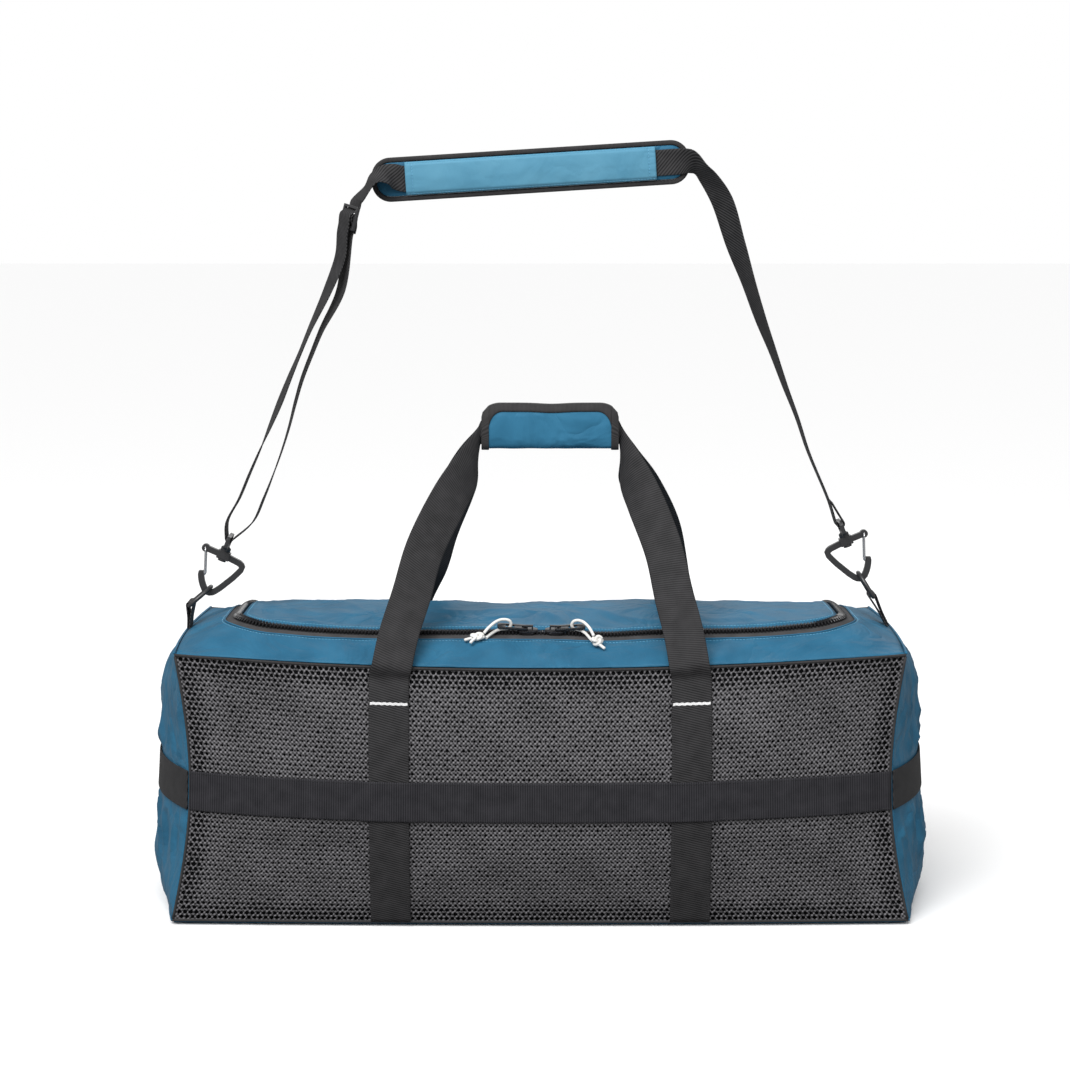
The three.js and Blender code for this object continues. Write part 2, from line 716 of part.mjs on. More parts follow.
// One carry handle: up the left of the panel, through the grip, and down the right.
function handleWebbing(side) {
  const off = webbingClearance + handleThickness / 2;
  const inside = (gripStrapGap + handleThickness) / 2;
  const seam = handlePlace / topHalfLength;
  const seamOut = seamHalfDepth(seam) + handleStandOff;
  const rise = (end) => {
    const wideAt = (turn) => vec(-end * Math.cos(radians(turn)), 0, -Math.sin(radians(turn)));
    const finish = gripShift + end * gripLength / 2;
    const lowest = handleSeam / topSeamHeight;
    const sewn = steps(lowest, 1, 8).slice(0, -1).map((v) => {
      const place = offSide(side, end * handlePlace, v, off);
      return { middle: place.middle, wide: place.along.multiplyScalar(-end), width: handleWidth };
    });
    const free = riserRows.map((row) => ({
      middle: vec(
        mix(end * handlePlace, finish, row.across),
        side * mix(seamOut, inside, row.back),
        mix(topSeamZ(seam), gripHeight, row.up),
      ),
      wide: wideAt(row.turn),
      width: handleWidth * row.width,
      cup: row.cup,
    }));
    const bunch = (beyond, drop, width, cup) => ({
      middle: vec(finish + end * beyond, side * inside, gripHeight - drop),
      wide: wideAt(90),
      width: handleWidth * width,
      cup,
    });
    const gathered = [
      bunch(3.5, 14, 0.62, 3),
      bunch(1.2, 7.5, 0.6, 3),
      bunch(-14, 3, 0.72, 1.5),
      bunch(-35, 0.5, 0.84, 0),
    ];
    return [...sewn, ...free, ...gathered];
  };
  const stations = pathStations([...rise(-1), ...rise(1).reverse()]);
  for (const station of stations) {
    station.face.multiplyScalar(Math.sign(station.face.y * side) || 1);
  }
  return ribbon(stations, handleThickness);
}

// The band along a long panel, which steps out over the two vertical webbings.
function bandWebbing(side) {
  const low = webbingClearance + bandThickness / 2;
  const high = webbingClearance + handleThickness + layerGap + bandThickness / 2;
  const end = halfLengthAt(bandShare) - seamGap;
  const near = handleWidth / 2 + 1;
  const far = near + bandRamp;
  const crossings = [-handlePlace, handlePlace].flatMap((x) => [x - far, x - near, x, x + near, x + far]);
  const clear = steps(-end, end, 20).filter((x) => Math.abs(Math.abs(x) - handlePlace) > far + 3);
  const places = [...clear, ...crossings].sort((a, b) => a - b);
  const stations = places.map((x) => {
    const raised = Math.abs(Math.abs(x) - handlePlace) <= near;
    const place = offSide(side, x, bandShare, raised ? high : low);
    return { middle: place.middle, wide: place.up, width: bandWidth, face: place.normal };
  });
  return ribbon(stations, bandThickness);
}

// The band across an end panel, sewn in at its two corner seams.
function endBandWebbing(end) {
  const off = 2 * webbingClearance + bandThickness / 2;
  const edge = 1 - 2 * seamGap / cornerHalfDepth;
  const step = 0.01;
  const stations = endSteps(edge).map((w) => {
    const along = endPoint(end, w + step, bandShare).sub(endPoint(end, w - step, bandShare));
    const up = endPoint(end, w, bandShare + step).sub(endPoint(end, w, bandShare - step)).normalize();
    const normal = along.cross(up).normalize();
    normal.multiplyScalar(Math.sign(normal.x * end) || 1);
    const middle = endPoint(end, w, bandShare).addScaledVector(normal, off);
    return { middle, wide: up, width: bandWidth, face: normal };
  });
  return ribbon(stations, bandThickness);
}

const gripSides = 12;

// The grip's wrap: a ring of cloth round the webbings, its upper corners rounded. The ring's points
// start at its lowest point, and grow is how far they lie outside the wrap.
function gripRing(x, grow) {
  const toEnd = gripLength / 2 - Math.abs(x - gripShift);
  const near = Math.min(1, Math.max(0, toEnd / gripCorner));
  const drop = gripCorner * (1 - Math.sqrt(1 - (1 - near) ** 2));
  const top = gripHeight + gripTall / 2 - drop + grow;
  const bottom = gripHeight - gripTall / 2 - grow;
  const halfThick = gripThickness / 2 + grow;
  return steps(0, 1, gripSides).slice(0, -1).map((share) => {
    const angle = share * 2 * Math.PI - Math.PI / 2;
    const c = Math.cos(angle);
    const r = Math.sin(angle);
    const y = halfThick * Math.sign(c) * Math.abs(c) ** 0.7;
    const z = mix(bottom, top, 0.5 + 0.5 * Math.sign(r) * Math.abs(r) ** 0.7);
    return vec(x, y, z);
  });
}

function gripTube(xs, low, high) {
  return wall(xs.map((x) => ({ outer: gripRing(x, high), inner: gripRing(x, low) })), { round: true });
}

function buildGrip() {
  const left = gripShift - gripLength / 2;
  const right = gripShift + gripLength / 2;
  const round = [0, 0.2 * gripCorner, gripBinding, gripCorner];
  const leftXs = round.map((d) => left + d);
  const rightXs = round.map((d) => right - d).reverse();
  const xs = [...leftXs, ...steps(left + gripCorner, right - gripCorner, 4).slice(1, -1), ...rightXs];
  addPiece('handle_wrap', gripTube(xs, -gripWall, 0), blueCloth);

  // The binding runs round both open ends and along the top.
  const low = layerGap;
  const high = layerGap + bindingThickness;
  const topPoints = (x, grow) => gripRing(x, grow).slice(gripSides / 2 - 1, gripSides / 2 + 2);
  const topStrip = wall(xs.map((x) => ({ outer: topPoints(x, high), inner: topPoints(x, low) })));
  const binding = joined([
    topStrip,
    gripTube(leftXs.slice(0, -1), low, high),
    gripTube(rightXs.slice(1), low, high),
  ]);
  addPiece('handle_wrap_binding', binding, darkWebbing);
}

function buildWebbings() {
  addPiece('handle_webbing_front', handleWebbing(-1), darkWebbing);
  addPiece('handle_webbing_back', handleWebbing(1), darkWebbing);
  addPiece('band_front', bandWebbing(-1), charcoalWebbing);
  addPiece('band_back', bandWebbing(1), charcoalWebbing);
  addPiece('band_end_left', endBandWebbing(-1), darkWebbing);
  addPiece('band_end_right', endBandWebbing(1), darkWebbing);
}

// A hook's own directions in the upright plane of the bag's length.
function hookFrame(row) {
  const lean = radians(row.hookLean);
  const seatHeight = topSeamHeight + cornerRise + row.seatUp;
  const seat = vec(row.end * (topHalfLength - row.seatIn), 0, seatHeight);
  const up = vec(-row.end * Math.sin(lean), 0, Math.cos(lean));
  const out = vec(row.end * Math.cos(lean), 0, Math.sin(lean));
  const at = (o, u) => seat.clone().addScaledVector(out, o).addScaledVector(up, u);
  return { seat, up, out, at };
}

const hubTop = -2.5 + hubHeight / 2;
const eyeLow = hubTop + swivelClearance + swivelCollarHeight;
const eyeMiddle = eyeLow + eyeBar + eyeInner + eyeBar / 2;

// The hook's body lies in its own plane: x out, y up and z through its thickness.
function hookBody(end) {
  const curve = new THREE.CatmullRomCurve3(hookRows.map((row) => vec(row.out, row.up, 0)), false, 'centripetal');
  const count = 24;
  const near = [];
  const far = [];
  for (const share of steps(0, 1, count)) {
    const middle = curve.getPoint(share);
    const tangent = curve.getTangent(share);
    const half = hookBar / 2 * (share < 1 ? 1 : 0.75);
    near.push([middle.x - tangent.y * half, middle.y + tangent.x * half]);
    far.push([middle.x + tangent.y * half, middle.y - tangent.x * half]);
  }
  const outline = [...near, ...far.reverse()].map(([x, y]) => new THREE.Vector2(x, y));
  const bar = plate(new THREE.Shape(outline), hookThickness);
  const boss = plate(disc(hookBar / 2 + 1.3, 14), hookThickness);
  boss.translate(hookRows[0].out, hookRows[0].up, 0);
  const hub = new THREE.BoxGeometry(hubWidth, hubHeight, hookThickness + 3);
  hub.translate(0, hubTop - hubHeight / 2, 0);
  const pivotHole = plate(disc(gateHole / 2, 10), hookThickness * 2);
  pivotHole.translate(hookRows[0].out, hookRows[0].up, 0);
  const postHole = new THREE.CylinderGeometry(
    swivelPost / 2 + swivelClearance, swivelPost / 2 + swivelClearance, hubHeight * 2, 12,
  );
  postHole.translate(0, hubTop - hubHeight / 2, 0);
  const body = joined([bar, boss, hub], [pivotHole, postHole]);
  if (end < 0) {
    body.scale(-1, 1, 1);
    body.setIndex(flipped(body.index));
  }
  return body;
}

function flipped(index) {
  const turned = [];
  for (let i = 0; i < index.count; i += 3) {
    turned.push(index.getX(i), index.getX(i + 2), index.getX(i + 1));
  }
  return turned;
}

// The wire gate: a hairpin whose two ends turn into the pivot hole, one from each side.
function hookGate(end) {
  const side = hookThickness / 2 + gateClearance + gateWire / 2;
  const pivot = { x: end * hookRows[0].out, y: hookRows[0].up };
  const tip = { x: end * gateEnd.out, y: gateEnd.up };
  const at = (share, z) => vec(mix(pivot.x, tip.x, share), mix(pivot.y, tip.y, share), z);
  const points = [
    at(0, 0.6), at(0, side - 0.8), at(0.03, side), at(0.1, side), at(0.9, side), at(0.97, side - 0.3),
    at(1, side - 1.4), at(1, 0), at(1, -side + 1.4), at(0.97, -side + 0.3), at(0.9, -side), at(0.1, -side),
    at(0.03, -side), at(0, -side + 0.8), at(0, -0.6),
  ];
  const path = new THREE.CatmullRomCurve3(points, false, 'centripetal');
  return tubeAlong(path, gateWire / 2, 6, 18);
}

// The swivel: a headed post through the hook's hub, a collar, and the eye that the webbing loops.
function hookSwivel() {
  const radius = swivelPost / 2;
  const low = hubTop - hubHeight - swivelClearance;
  const collarLow = hubTop + swivelClearance;
  const profile = [
    [0, low - swivelHeadHeight],
    [radius + 2, low - swivelHeadHeight],
    [radius + 2, low],
    [radius, low],
    [radius, collarLow],
    [swivelCollar / 2, collarLow],
    [swivelCollar / 2, eyeLow],
    [radius, eyeLow + eyeBar / 2],
    [0, eyeLow + eyeBar / 2],
  ].map(([x, y]) => new THREE.Vector2(x, y));
  const post = new THREE.LatheGeometry(profile, 14);
  const halfWide = strapWidth / 2 + 1;
  const frame = new THREE.Shape();
  const outline = (shape, wide, bottom, top, round) => {
    shape.moveTo(-wide + round, bottom);
    shape.lineTo(wide - round, bottom);
    shape.lineTo(wide, bottom + round);
    shape.lineTo(wide, top - round);
    shape.lineTo(wide - round, top);
    shape.lineTo(-wide + round, top);
    shape.lineTo(-wide, top - round);
    shape.lineTo(-wide, bottom + round);
    shape.closePath();
  };
  outline(frame, halfWide + eyeBar, eyeLow, eyeLow + eyeInner + 2 * eyeBar, 3);
  const hole = new THREE.Path();
  outline(hole, halfWide, eyeLow + eyeBar, eyeLow + eyeBar + eyeInner, 1);
  frame.holes.push(hole);
  const eye = plate(frame, eyeBar);
  eye.rotateY(Math.PI / 2);
  return joined([eye, post]);
}

// Where a D-ring's crown hangs in its hook, in the hook's directions.
const crownInHook = { out: 1, up: -50 + (hookBar + ringWire) / 2 + 0.6 };

function ringFrame(row) {
  const hook = hookFrame(row);
  const crown = hook.at(crownInHook.out, crownInHook.up);
  const lean = radians(row.ringLean);
  const reach = vec(-row.end * Math.sin(lean), 0, Math.cos(lean));
  return { crown, reach, bar: crown.clone().addScaledVector(reach, -ringReach) };
}

function dRing(row) {
  const { bar, reach } = ringFrame(row);
  const straight = strapWidth / 2 + 0.5;
  const half = straight + 3.4;
  const shoulder = 8;
  const points = [[-straight, 0], [-straight / 2, 0], [straight / 2, 0], [straight, 0], [half - 0.5, 1.8]];
  for (const angle of steps(0, Math.PI, 8)) {
    points.push([half * Math.cos(angle), shoulder + (ringReach - shoulder) * Math.sin(angle)]);
  }
  points.push([-half + 0.5, 1.8]);
  const path = points.map(([y, d]) => bar.clone().addScaledVector(reach, d).add(vec(0, y, 0)));
  const curve = new THREE.CatmullRomCurve3(path, true, 'centripetal');
  return new THREE.TubeGeometry(curve, 24, ringWire / 2, 7, true);
}

// Rows round a bar along Y, from angle to angle in degrees, where out and up are the directions of
// 0 and 90.
function loopRows(centre, out, up, radius, from, to, count, twist = 90) {
  return steps(radians(from), radians(to), count).map((angle) => ({
    middle: centre.clone()
      .addScaledVector(out, radius * Math.cos(angle))
      .addScaledVector(up, radius * Math.sin(angle)),
    twist,
    width: strapWidth,
  }));
}

// A D-ring's tab: a webbing folded round the ring's bar, both ends rooted on the bag's upper end seam.
function ringTab(row) {
  const { bar } = ringFrame(row);
  const rootX = row.end * (topHalfLength + row.rootOut);
  const root = onTop(rootX, 0, webbingClearance + strapThickness / 2);
  const rise = bar.clone().sub(root).normalize();
  const out = yAxis.clone().cross(rise).normalize();
  const apart = (strapThickness + layerGap) / 2;
  const radius = ringWire / 2 + loopSeat + strapThickness / 2;
  const end = (sign) => ({
    middle: root.clone().addScaledVector(out, sign * apart),
    twist: 90,
    width: strapWidth,
  });
  const low = (sign) => ({
    middle: mixPoints(root, bar, 0.45).addScaledVector(out, sign * (apart + 0.4)),
    twist: 90,
    width: strapWidth,
  });
  return ribbon(pathStations([
    end(1), low(1), ...loopRows(bar, out, rise, radius, -15, 195, 8), low(-1), end(-1),
  ]), strapThickness);
}

function mixPoints(a, b, share) {
  return a.clone().lerp(b, share);
}

function buildHooks() {
  for (const row of endRows) {
    const hook = new THREE.Group();
    const { seat } = hookFrame(row);
    hook.position.copy(seat);
    hook.rotation.set(Math.PI / 2, -row.end * radians(row.hookLean), 0, 'YXZ');
    bag.add(hook);
    addPiece(`hook_body_${row.name}`, hookBody(row.end), blackPlastic, hook);
    addPiece(`hook_gate_${row.name}`, hookGate(row.end), steel, hook);
    addPiece(`hook_swivel_${row.name}`, hookSwivel(), blackPlastic, hook);
    addPiece(`d_ring_${row.name}`, dRing(row), blackPlastic);
    addPiece(`ring_tab_${row.name}`, ringTab(row), darkWebbing);
  }
}

// The strap slider's directions: along is up the strap, off is away from the bag's middle.
function triglideFrame() {
  const tilt = radians(triglideTilt);
  const twist = radians(triglideTwist);
  const centre = vec(triglideX, 0, triglideHeight);
  const along = vec(Math.cos(tilt), 0, Math.sin(tilt));
  const level = yAxis.clone().cross(along).normalize();
  const wide = level.multiplyScalar(Math.cos(twist)).addScaledVector(yAxis, Math.sin(twist));
  const off = along.clone().cross(wide).normalize();
  off.multiplyScalar(-Math.sign(off.x));
  return { centre, along, wide, off };
}

function strapSlider() {
  const { centre, along, wide, off } = triglideFrame();
  const rectangle = (shape, x, y, halfX, halfY) => {
    shape.moveTo(x - halfX, y - halfY);
    shape.lineTo(x + halfX, y - halfY);
    shape.lineTo(x + halfX, y + halfY);
    shape.lineTo(x - halfX, y + halfY);
    shape.closePath();
    return shape;
  };
  const frame = rectangle(new THREE.Shape(), 0, 0, triglideWidth / 2, triglideLength / 2);
  const slotHalf = strapWidth / 2 + 0.8;
  const edgeBar = 3;
  const slotLow = triglideBar / 2;
  const slotHigh = triglideLength / 2 - edgeBar;
  for (const sign of [-1, 1]) {
    const middle = sign * (slotLow + slotHigh) / 2;
    frame.holes.push(rectangle(new THREE.Path(), 0, middle, slotHalf, (slotHigh - slotLow) / 2));
  }
  const slider = plate(frame, triglideThickness);
  const across = along.clone().cross(off).normalize();
  slider.applyMatrix4(new THREE.Matrix4().makeBasis(across, along, off).setPosition(centre));
  return slider;
}

function padFrame() {
  const tilt = radians(padTilt);
  const middle = vec(padMiddleX, 0, padMiddleHeight);
  const along = vec(Math.cos(tilt), 0, Math.sin(tilt));
  const up = vec(-Math.sin(tilt), 0, Math.cos(tilt));
  return { at: (a, b) => middle.clone().addScaledVector(along, a).addScaledVector(up, b) };
}

function runRows(rows, low, high) {
  return rows.map((row) => ({
    middle: vec(
      mix(low.x, high.x, row.across),
      -strapWidth * (row.forward ?? 0),
      mix(low.z, high.z, row.up),
    ),
    twist: row.twist,
    width: strapWidth,
  }));
}

// The whole shoulder strap, from the end sewn round the slider's bar, down to the left hook and back,
// across the slider, through the pad's sleeve, and down to the right hook, where it is sewn to itself.
function shoulderWebbing() {
  const [left, right] = endRows.map(hookFrame);
  const slider = triglideFrame();
  const leftEye = left.at(0, eyeMiddle);
  const rightEye = right.at(0, eyeMiddle);
  const radius = eyeBar * 0.71 + loopSeat + strapThickness / 2;
  const pad = padFrame();
  const padEnd = pad.at(padLength / 2, 0);
  const throughSlider = (rows) => rows.map((row) => ({
    middle: slider.centre.clone()
      .addScaledVector(slider.along, -row.along)
      .addScaledVector(slider.off, row.off),
    wide: slider.wide,
    width: strapWidth,
  }));
  const innerRun = runRows(innerRunRows, leftEye, slider.centre);
  const outerRun = runRows(outerRunRows, leftEye, slider.centre);
  const flat = (a, b, twist) => ({
    middle: pad.at(a, b).add(vec(0, -strapWidth / 2 * Math.sin(radians(Math.abs(twist))), 0)),
    twist,
    width: strapWidth,
  });
  const toPad = [
    { middle: pad.at(-padLength / 2 - 9, -14).add(vec(0, -strapWidth / 3, 0)), twist: -70, width: strapWidth },
    flat(-padLength / 2 + 4, 3, -64),
    flat(-padLength / 2 + 17, 6, -42),
    flat(-padLength / 2 + 28, 3, -16),
  ];
  const onPad = steps(-sleeveLength / 2 - 2, sleeveLength / 2 + 2, 4).map((a) => flat(a, 0, 0));
  const fromPad = [flat(padLength / 2 - 12, 0, 8), flat(padLength / 2 + 1, -1, 30)];
  const rightRun = runRows(rightRunRows, rightEye, padEnd);
  const sewnApart = strapThickness + layerGap;
  const sewn = [0.02, 0.059].map((up, i) => {
    const share = i === 0 ? 0.024 : 0.071;
    const main = vec(mix(rightEye.x, padEnd.x, share), 0, mix(rightEye.z, padEnd.z, up));
    return { middle: main.addScaledVector(right.out, i === 0 ? radius * 0.8 : sewnApart), twist: 90, width: strapWidth };
  });
  return ribbon(pathStations([
    ...throughSlider(sewnEndRows),
    ...innerRun,
    ...loopRows(leftEye, left.out, left.up, radius, 190, 350, 6, -90),
    ...outerRun,
    ...throughSlider(crossingRows),
    ...toPad,
    ...onPad,
    ...fromPad,
    ...rightRun,
    ...loopRows(rightEye, right.out, right.up, radius, 190, 350, 6),
    ...sewn,
  ]), strapThickness);
}

// A rounded rectangle's outline about the middle, from its half sizes and its corners' radius.
function roundedOutline(path, halfX, halfY, radius, cornerSteps = 4) {
  const corners = [[1, 1, 0], [-1, 1, 90], [-1, -1, 180], [1, -1, 270]];
  corners.forEach(([sx, sy, start], corner) => {
    for (const angle of steps(radians(start), radians(start + 90), cornerSteps)) {
      const x = sx * (halfX - radius) + radius * Math.cos(angle);
      const y = sy * (halfY - radius) + radius * Math.sin(angle);
      if (corner === 0 && angle === 0) {
        path.moveTo(x, y);
      } else {
        path.lineTo(x, y);
      }
    }
  });
  path.closePath();
  return path;
}

// The shoulder pad: its body, the binding round its edge, and the sleeve that holds the strap to it.
function buildPad() {
  const pad = new THREE.Group();
  pad.position.set(padMiddleX, 0, padMiddleHeight);
  pad.rotation.set(Math.PI / 2, -radians(padTilt), 0, 'YXZ');
  bag.add(pad);
  const front = strapThickness / 2 + padGap;
  const middle = -front - padThickness / 2;
  const edge = padBinding + padGap;
  const bodyShape = roundedOutline(
    new THREE.Shape(), padLength / 2 - edge, padHeight / 2 - edge, padRound - edge,
  );
  const body = plate(bodyShape, padThickness);
  body.translate(0, 0, middle);
  addPiece('pad_body', body, blueCloth, pad);

  const ring = roundedOutline(new THREE.Shape(), padLength / 2, padHeight / 2, padRound);
  ring.holes.push(roundedOutline(
    new THREE.Path(), padLength / 2 - padBinding, padHeight / 2 - padBinding, padRound - padBinding,
  ));
  const binding = plate(ring, padBindingThickness);
  binding.translate(0, 0, middle);
  addPiece('pad_binding', binding, darkWebbing, pad);

  const reach = padHeight / 2 - edge;
  const across = [
    { b: -1, off: -padGap },
    { b: -0.86, off: strapThickness + padGap },
    { b: -0.45, off: strapThickness + padGap + 0.9 },
    { b: 0, off: strapThickness + padGap + 1.3 },
    { b: 0.45, off: strapThickness + padGap + 0.9 },
    { b: 0.86, off: strapThickness + padGap },
    { b: 1, off: -padGap },
  ];
  const sleeve = wall(steps(-sleeveLength / 2, sleeveLength / 2, 4).map((a) => {
    const row = (lift) => across.map(({ b, off }) => vec(a, b * reach, -front + 2 * padGap + off + lift));
    return { outer: row(sleeveThickness), inner: row(0) };
  }));
  addPiece('pad_sleeve', sleeve, paleBlueCloth, pad);
}

function boxBetween(low, high) {
  const box = new THREE.BoxGeometry(high.x - low.x, high.y - low.y, high.z - low.z);
  box.translate((low.x + high.x) / 2, (low.y + high.y) / 2, (low.z + high.z) / 2);
  return box;
}

// Heights above the lid's cloth at the zip
const tapeTop = (tapeThickness - clothThickness) / 2;
const tapeLow = tapeTop - tapeThickness;
const chainTop = tapeLow + chainHeight;

// A zip slider: a plate over the chain with a flange down each side, and an arch that holds the pull.
// x runs out along the pull, y across the zip and z off the cloth.
function zipSlider() {
  const plateLow = chainTop + sliderClearance;
  const plateTop = plateLow + sliderPlate;
  const inner = chainWidth / 2 + sliderClearance;
  const halfLong = zipSliderLength / 2;
  const halfWide = zipSliderWidth / 2;
  const outline = new THREE.Shape([
    [halfLong, -halfWide + 1.5], [halfLong, halfWide - 1.5], [halfLong - 3, halfWide],
    [-halfLong + 4, halfWide - 1], [-halfLong, 3], [-halfLong, -3], [-halfLong + 4, -halfWide + 1],
    [halfLong - 3, -halfWide],
  ].map(([x, y]) => new THREE.Vector2(x, y)));
  const top = plate(outline, sliderPlate);
  top.translate(0, 0, plateLow + sliderPlate / 2);
  const flanges = [-1, 1].map((side) => boxBetween(
    vec(-halfLong + 5, Math.min(side * inner, side * (halfWide - 0.6)), tapeTop + sliderClearance),
    vec(halfLong - 3.5, Math.max(side * inner, side * (halfWide - 0.6)), plateLow + 0.5),
  ));
  const archTop = plateTop + bridgeInner + bridgeBar;
  const outerLeg = bridgeLength / 2;
  const legs = [-outerLeg, outerLeg - bridgeBar].map((x) => boxBetween(
    vec(x, -bridgeWidth / 2, plateTop - 0.5),
    vec(x + bridgeBar, bridgeWidth / 2, archTop - 0.3),
  ));
  const bar = boxBetween(
    vec(-outerLeg, -bridgeWidth / 2, archTop - bridgeBar),
    vec(outerLeg, bridgeWidth / 2, archTop),
  );
  return joined([top, ...flanges, ...legs, bar]);
}

// A pull: a long tab whose inner eye is held by the slider's arch, with a hole for the cord.
function zipPullTab() {
  const eyeBarWidth = 2;
  const outline = roundedOutline(new THREE.Shape(), pullLength / 2, pullWidth / 2, 3, 2);
  const hole = (from, length, width) => {
    const path = new THREE.Path();
    const x = from - pullLength / 2;
    path.moveTo(x, -width / 2);
    path.lineTo(x + length, -width / 2);
    path.lineTo(x + length, width / 2);
    path.lineTo(x, width / 2);
    path.closePath();
    return path;
  };
  outline.holes.push(hole(eyeBarWidth, pullEye, bridgeWidth + 1.6));
  outline.holes.push(hole(cordHoleStart, cordHoleLength, cordHoleWidth));
  const tab = plate(outline, pullThickness);
  tab.translate(pullLength / 2, 0, 0);
  return tab;
}

function buildZipPulls() {
  const archMiddle = chainTop + sliderClearance + sliderPlate + bridgeInner / 2;
  for (const row of zipPulls) {
    const seat = onTop(row.place, -zipFront);
    const normal = topNormal(row.place, -zipFront);
    const out = vec(row.end, 0, 0).addScaledVector(normal, -normal.x * row.end).normalize();
    const across = normal.clone().cross(out).normalize();
    const slider = new THREE.Group();
    slider.position.copy(seat);
    slider.quaternion.setFromRotationMatrix(new THREE.Matrix4().makeBasis(out, across, normal));
    bag.add(slider);
    addPiece(`zip_slider_${row.name}`, zipSlider(), blackPlastic, slider);
    const hinge = new THREE.Group();
    hinge.position.set(0.6, 0, archMiddle);
    hinge.rotation.y = -radians(pullTilt);
    slider.add(hinge);
    addPiece(`zip_pull_${row.name}`, zipPullTab(), blackPlastic, hinge);

    const route = new THREE.CatmullRomCurve3(row.route.map((p) => vec(...p)), false, 'centripetal');
    addPiece(`zip_cord_${row.name}`, tubeAlong(route, cordDiameter / 2, 8, 22), whiteCord);
    const knot = new THREE.SphereGeometry(1, 9, 6);
    knot.rotateZ(Math.PI / 2);
    knot.scale(row.knot.halfLength, row.knot.radius, row.knot.radius);
    knot.translate(row.knot.x, row.knot.y, row.knot.z);
    addPiece(`zip_knot_${row.name}`, knot, whiteCord);
  }
}

buildBody();
buildTop();
buildZipPulls();
buildWebbings();
buildGrip();
buildHooks();
buildPad();
addPiece('strap_slider', strapSlider(), blackPlastic);
addPiece('shoulder_webbing', shoulderWebbing(), darkWebbing);

export default bag;
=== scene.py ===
# Mesh gear bag with its handles, zip and shoulder strap.
# The frame is in metres: +X right, +Y back, +Z up. Lengths in the dictionaries are in millimetres.
import math

import bmesh
import bpy
import numpy as np
from mathutils import Matrix, Vector, noise


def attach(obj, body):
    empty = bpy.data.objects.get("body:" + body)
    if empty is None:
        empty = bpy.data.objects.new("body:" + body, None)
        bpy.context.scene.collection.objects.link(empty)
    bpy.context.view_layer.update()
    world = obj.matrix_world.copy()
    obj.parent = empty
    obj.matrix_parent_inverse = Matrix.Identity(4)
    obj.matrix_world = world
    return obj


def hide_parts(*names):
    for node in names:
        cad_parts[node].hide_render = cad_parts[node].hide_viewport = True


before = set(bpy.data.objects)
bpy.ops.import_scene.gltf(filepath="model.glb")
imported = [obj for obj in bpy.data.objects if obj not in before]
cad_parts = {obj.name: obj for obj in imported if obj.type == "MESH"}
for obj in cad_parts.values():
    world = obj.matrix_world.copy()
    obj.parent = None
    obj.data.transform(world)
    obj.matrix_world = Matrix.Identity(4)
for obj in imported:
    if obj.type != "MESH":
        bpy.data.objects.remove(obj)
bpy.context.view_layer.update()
mm = 0.001


# Small helpers
def mix(a, b, t):
    return a + (b - a) * t


def steps(low, high, count):
    return [mix(low, high, i / count) for i in range(count + 1)]


def rise(low, high, value):
    t = np.clip((value - low) / (high - low), 0, 1)
    return t * t * (3 - 2 * t)


def vec(x, y, z):
    return Vector((float(x), float(y), float(z)))


def unit(v):
    return v.normalized() if v.length > 1e-9 else v


def towards(v, way):
    return -v if v.dot(way) < 0 else v


def noiseAt(x, y, z):
    return noise.noise(Vector((x, y, z)))


def makePiece(name, points, faces, finish, nodes=(), body="bag", uvs=None, smooth=True):
    mesh = bpy.data.meshes.new(name)
    flatPoints = np.asarray([tuple(p) for p in points], dtype=np.float64) * mm
    mesh.from_pydata(flatPoints.tolist(), [], faces)
    if uvs is not None:
        layer = mesh.uv_layers.new(name="flat")
        corner = np.empty(len(mesh.loops), dtype=np.int32)
        mesh.loops.foreach_get("vertex_index", corner)
        layer.data.foreach_set("uv", (np.asarray(uvs, dtype=np.float64) * mm)[corner].ravel())
    return dress(mesh, name, finish, nodes, body, smooth)


def makeWall(name, wall, finish, nodes=()):
    points, faces, flats = wall
    return makePiece(name, points, faces, finish, nodes, uvs=flats)


# One piece of many parts, laid flat as seen from the front unless told otherwise.
def makeJoined(name, parts, finish, flatten=lambda p: (p.x, p.z)):
    points, faces = joinParts(parts)
    return makePiece(name, points, faces, finish, uvs=[flatten(p) for p in points])


def dress(mesh, name, finish, nodes=(), body="bag", smooth=True):
    mesh.materials.clear()
    mesh.materials.append(finish)
    mesh.polygons.foreach_set("use_smooth", [smooth] * len(mesh.polygons))
    mesh.update()
    piece = bpy.data.objects.new(name, mesh)
    bpy.context.scene.collection.objects.link(piece)
    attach(piece, body)
    if nodes:
        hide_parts(*nodes)
    return piece


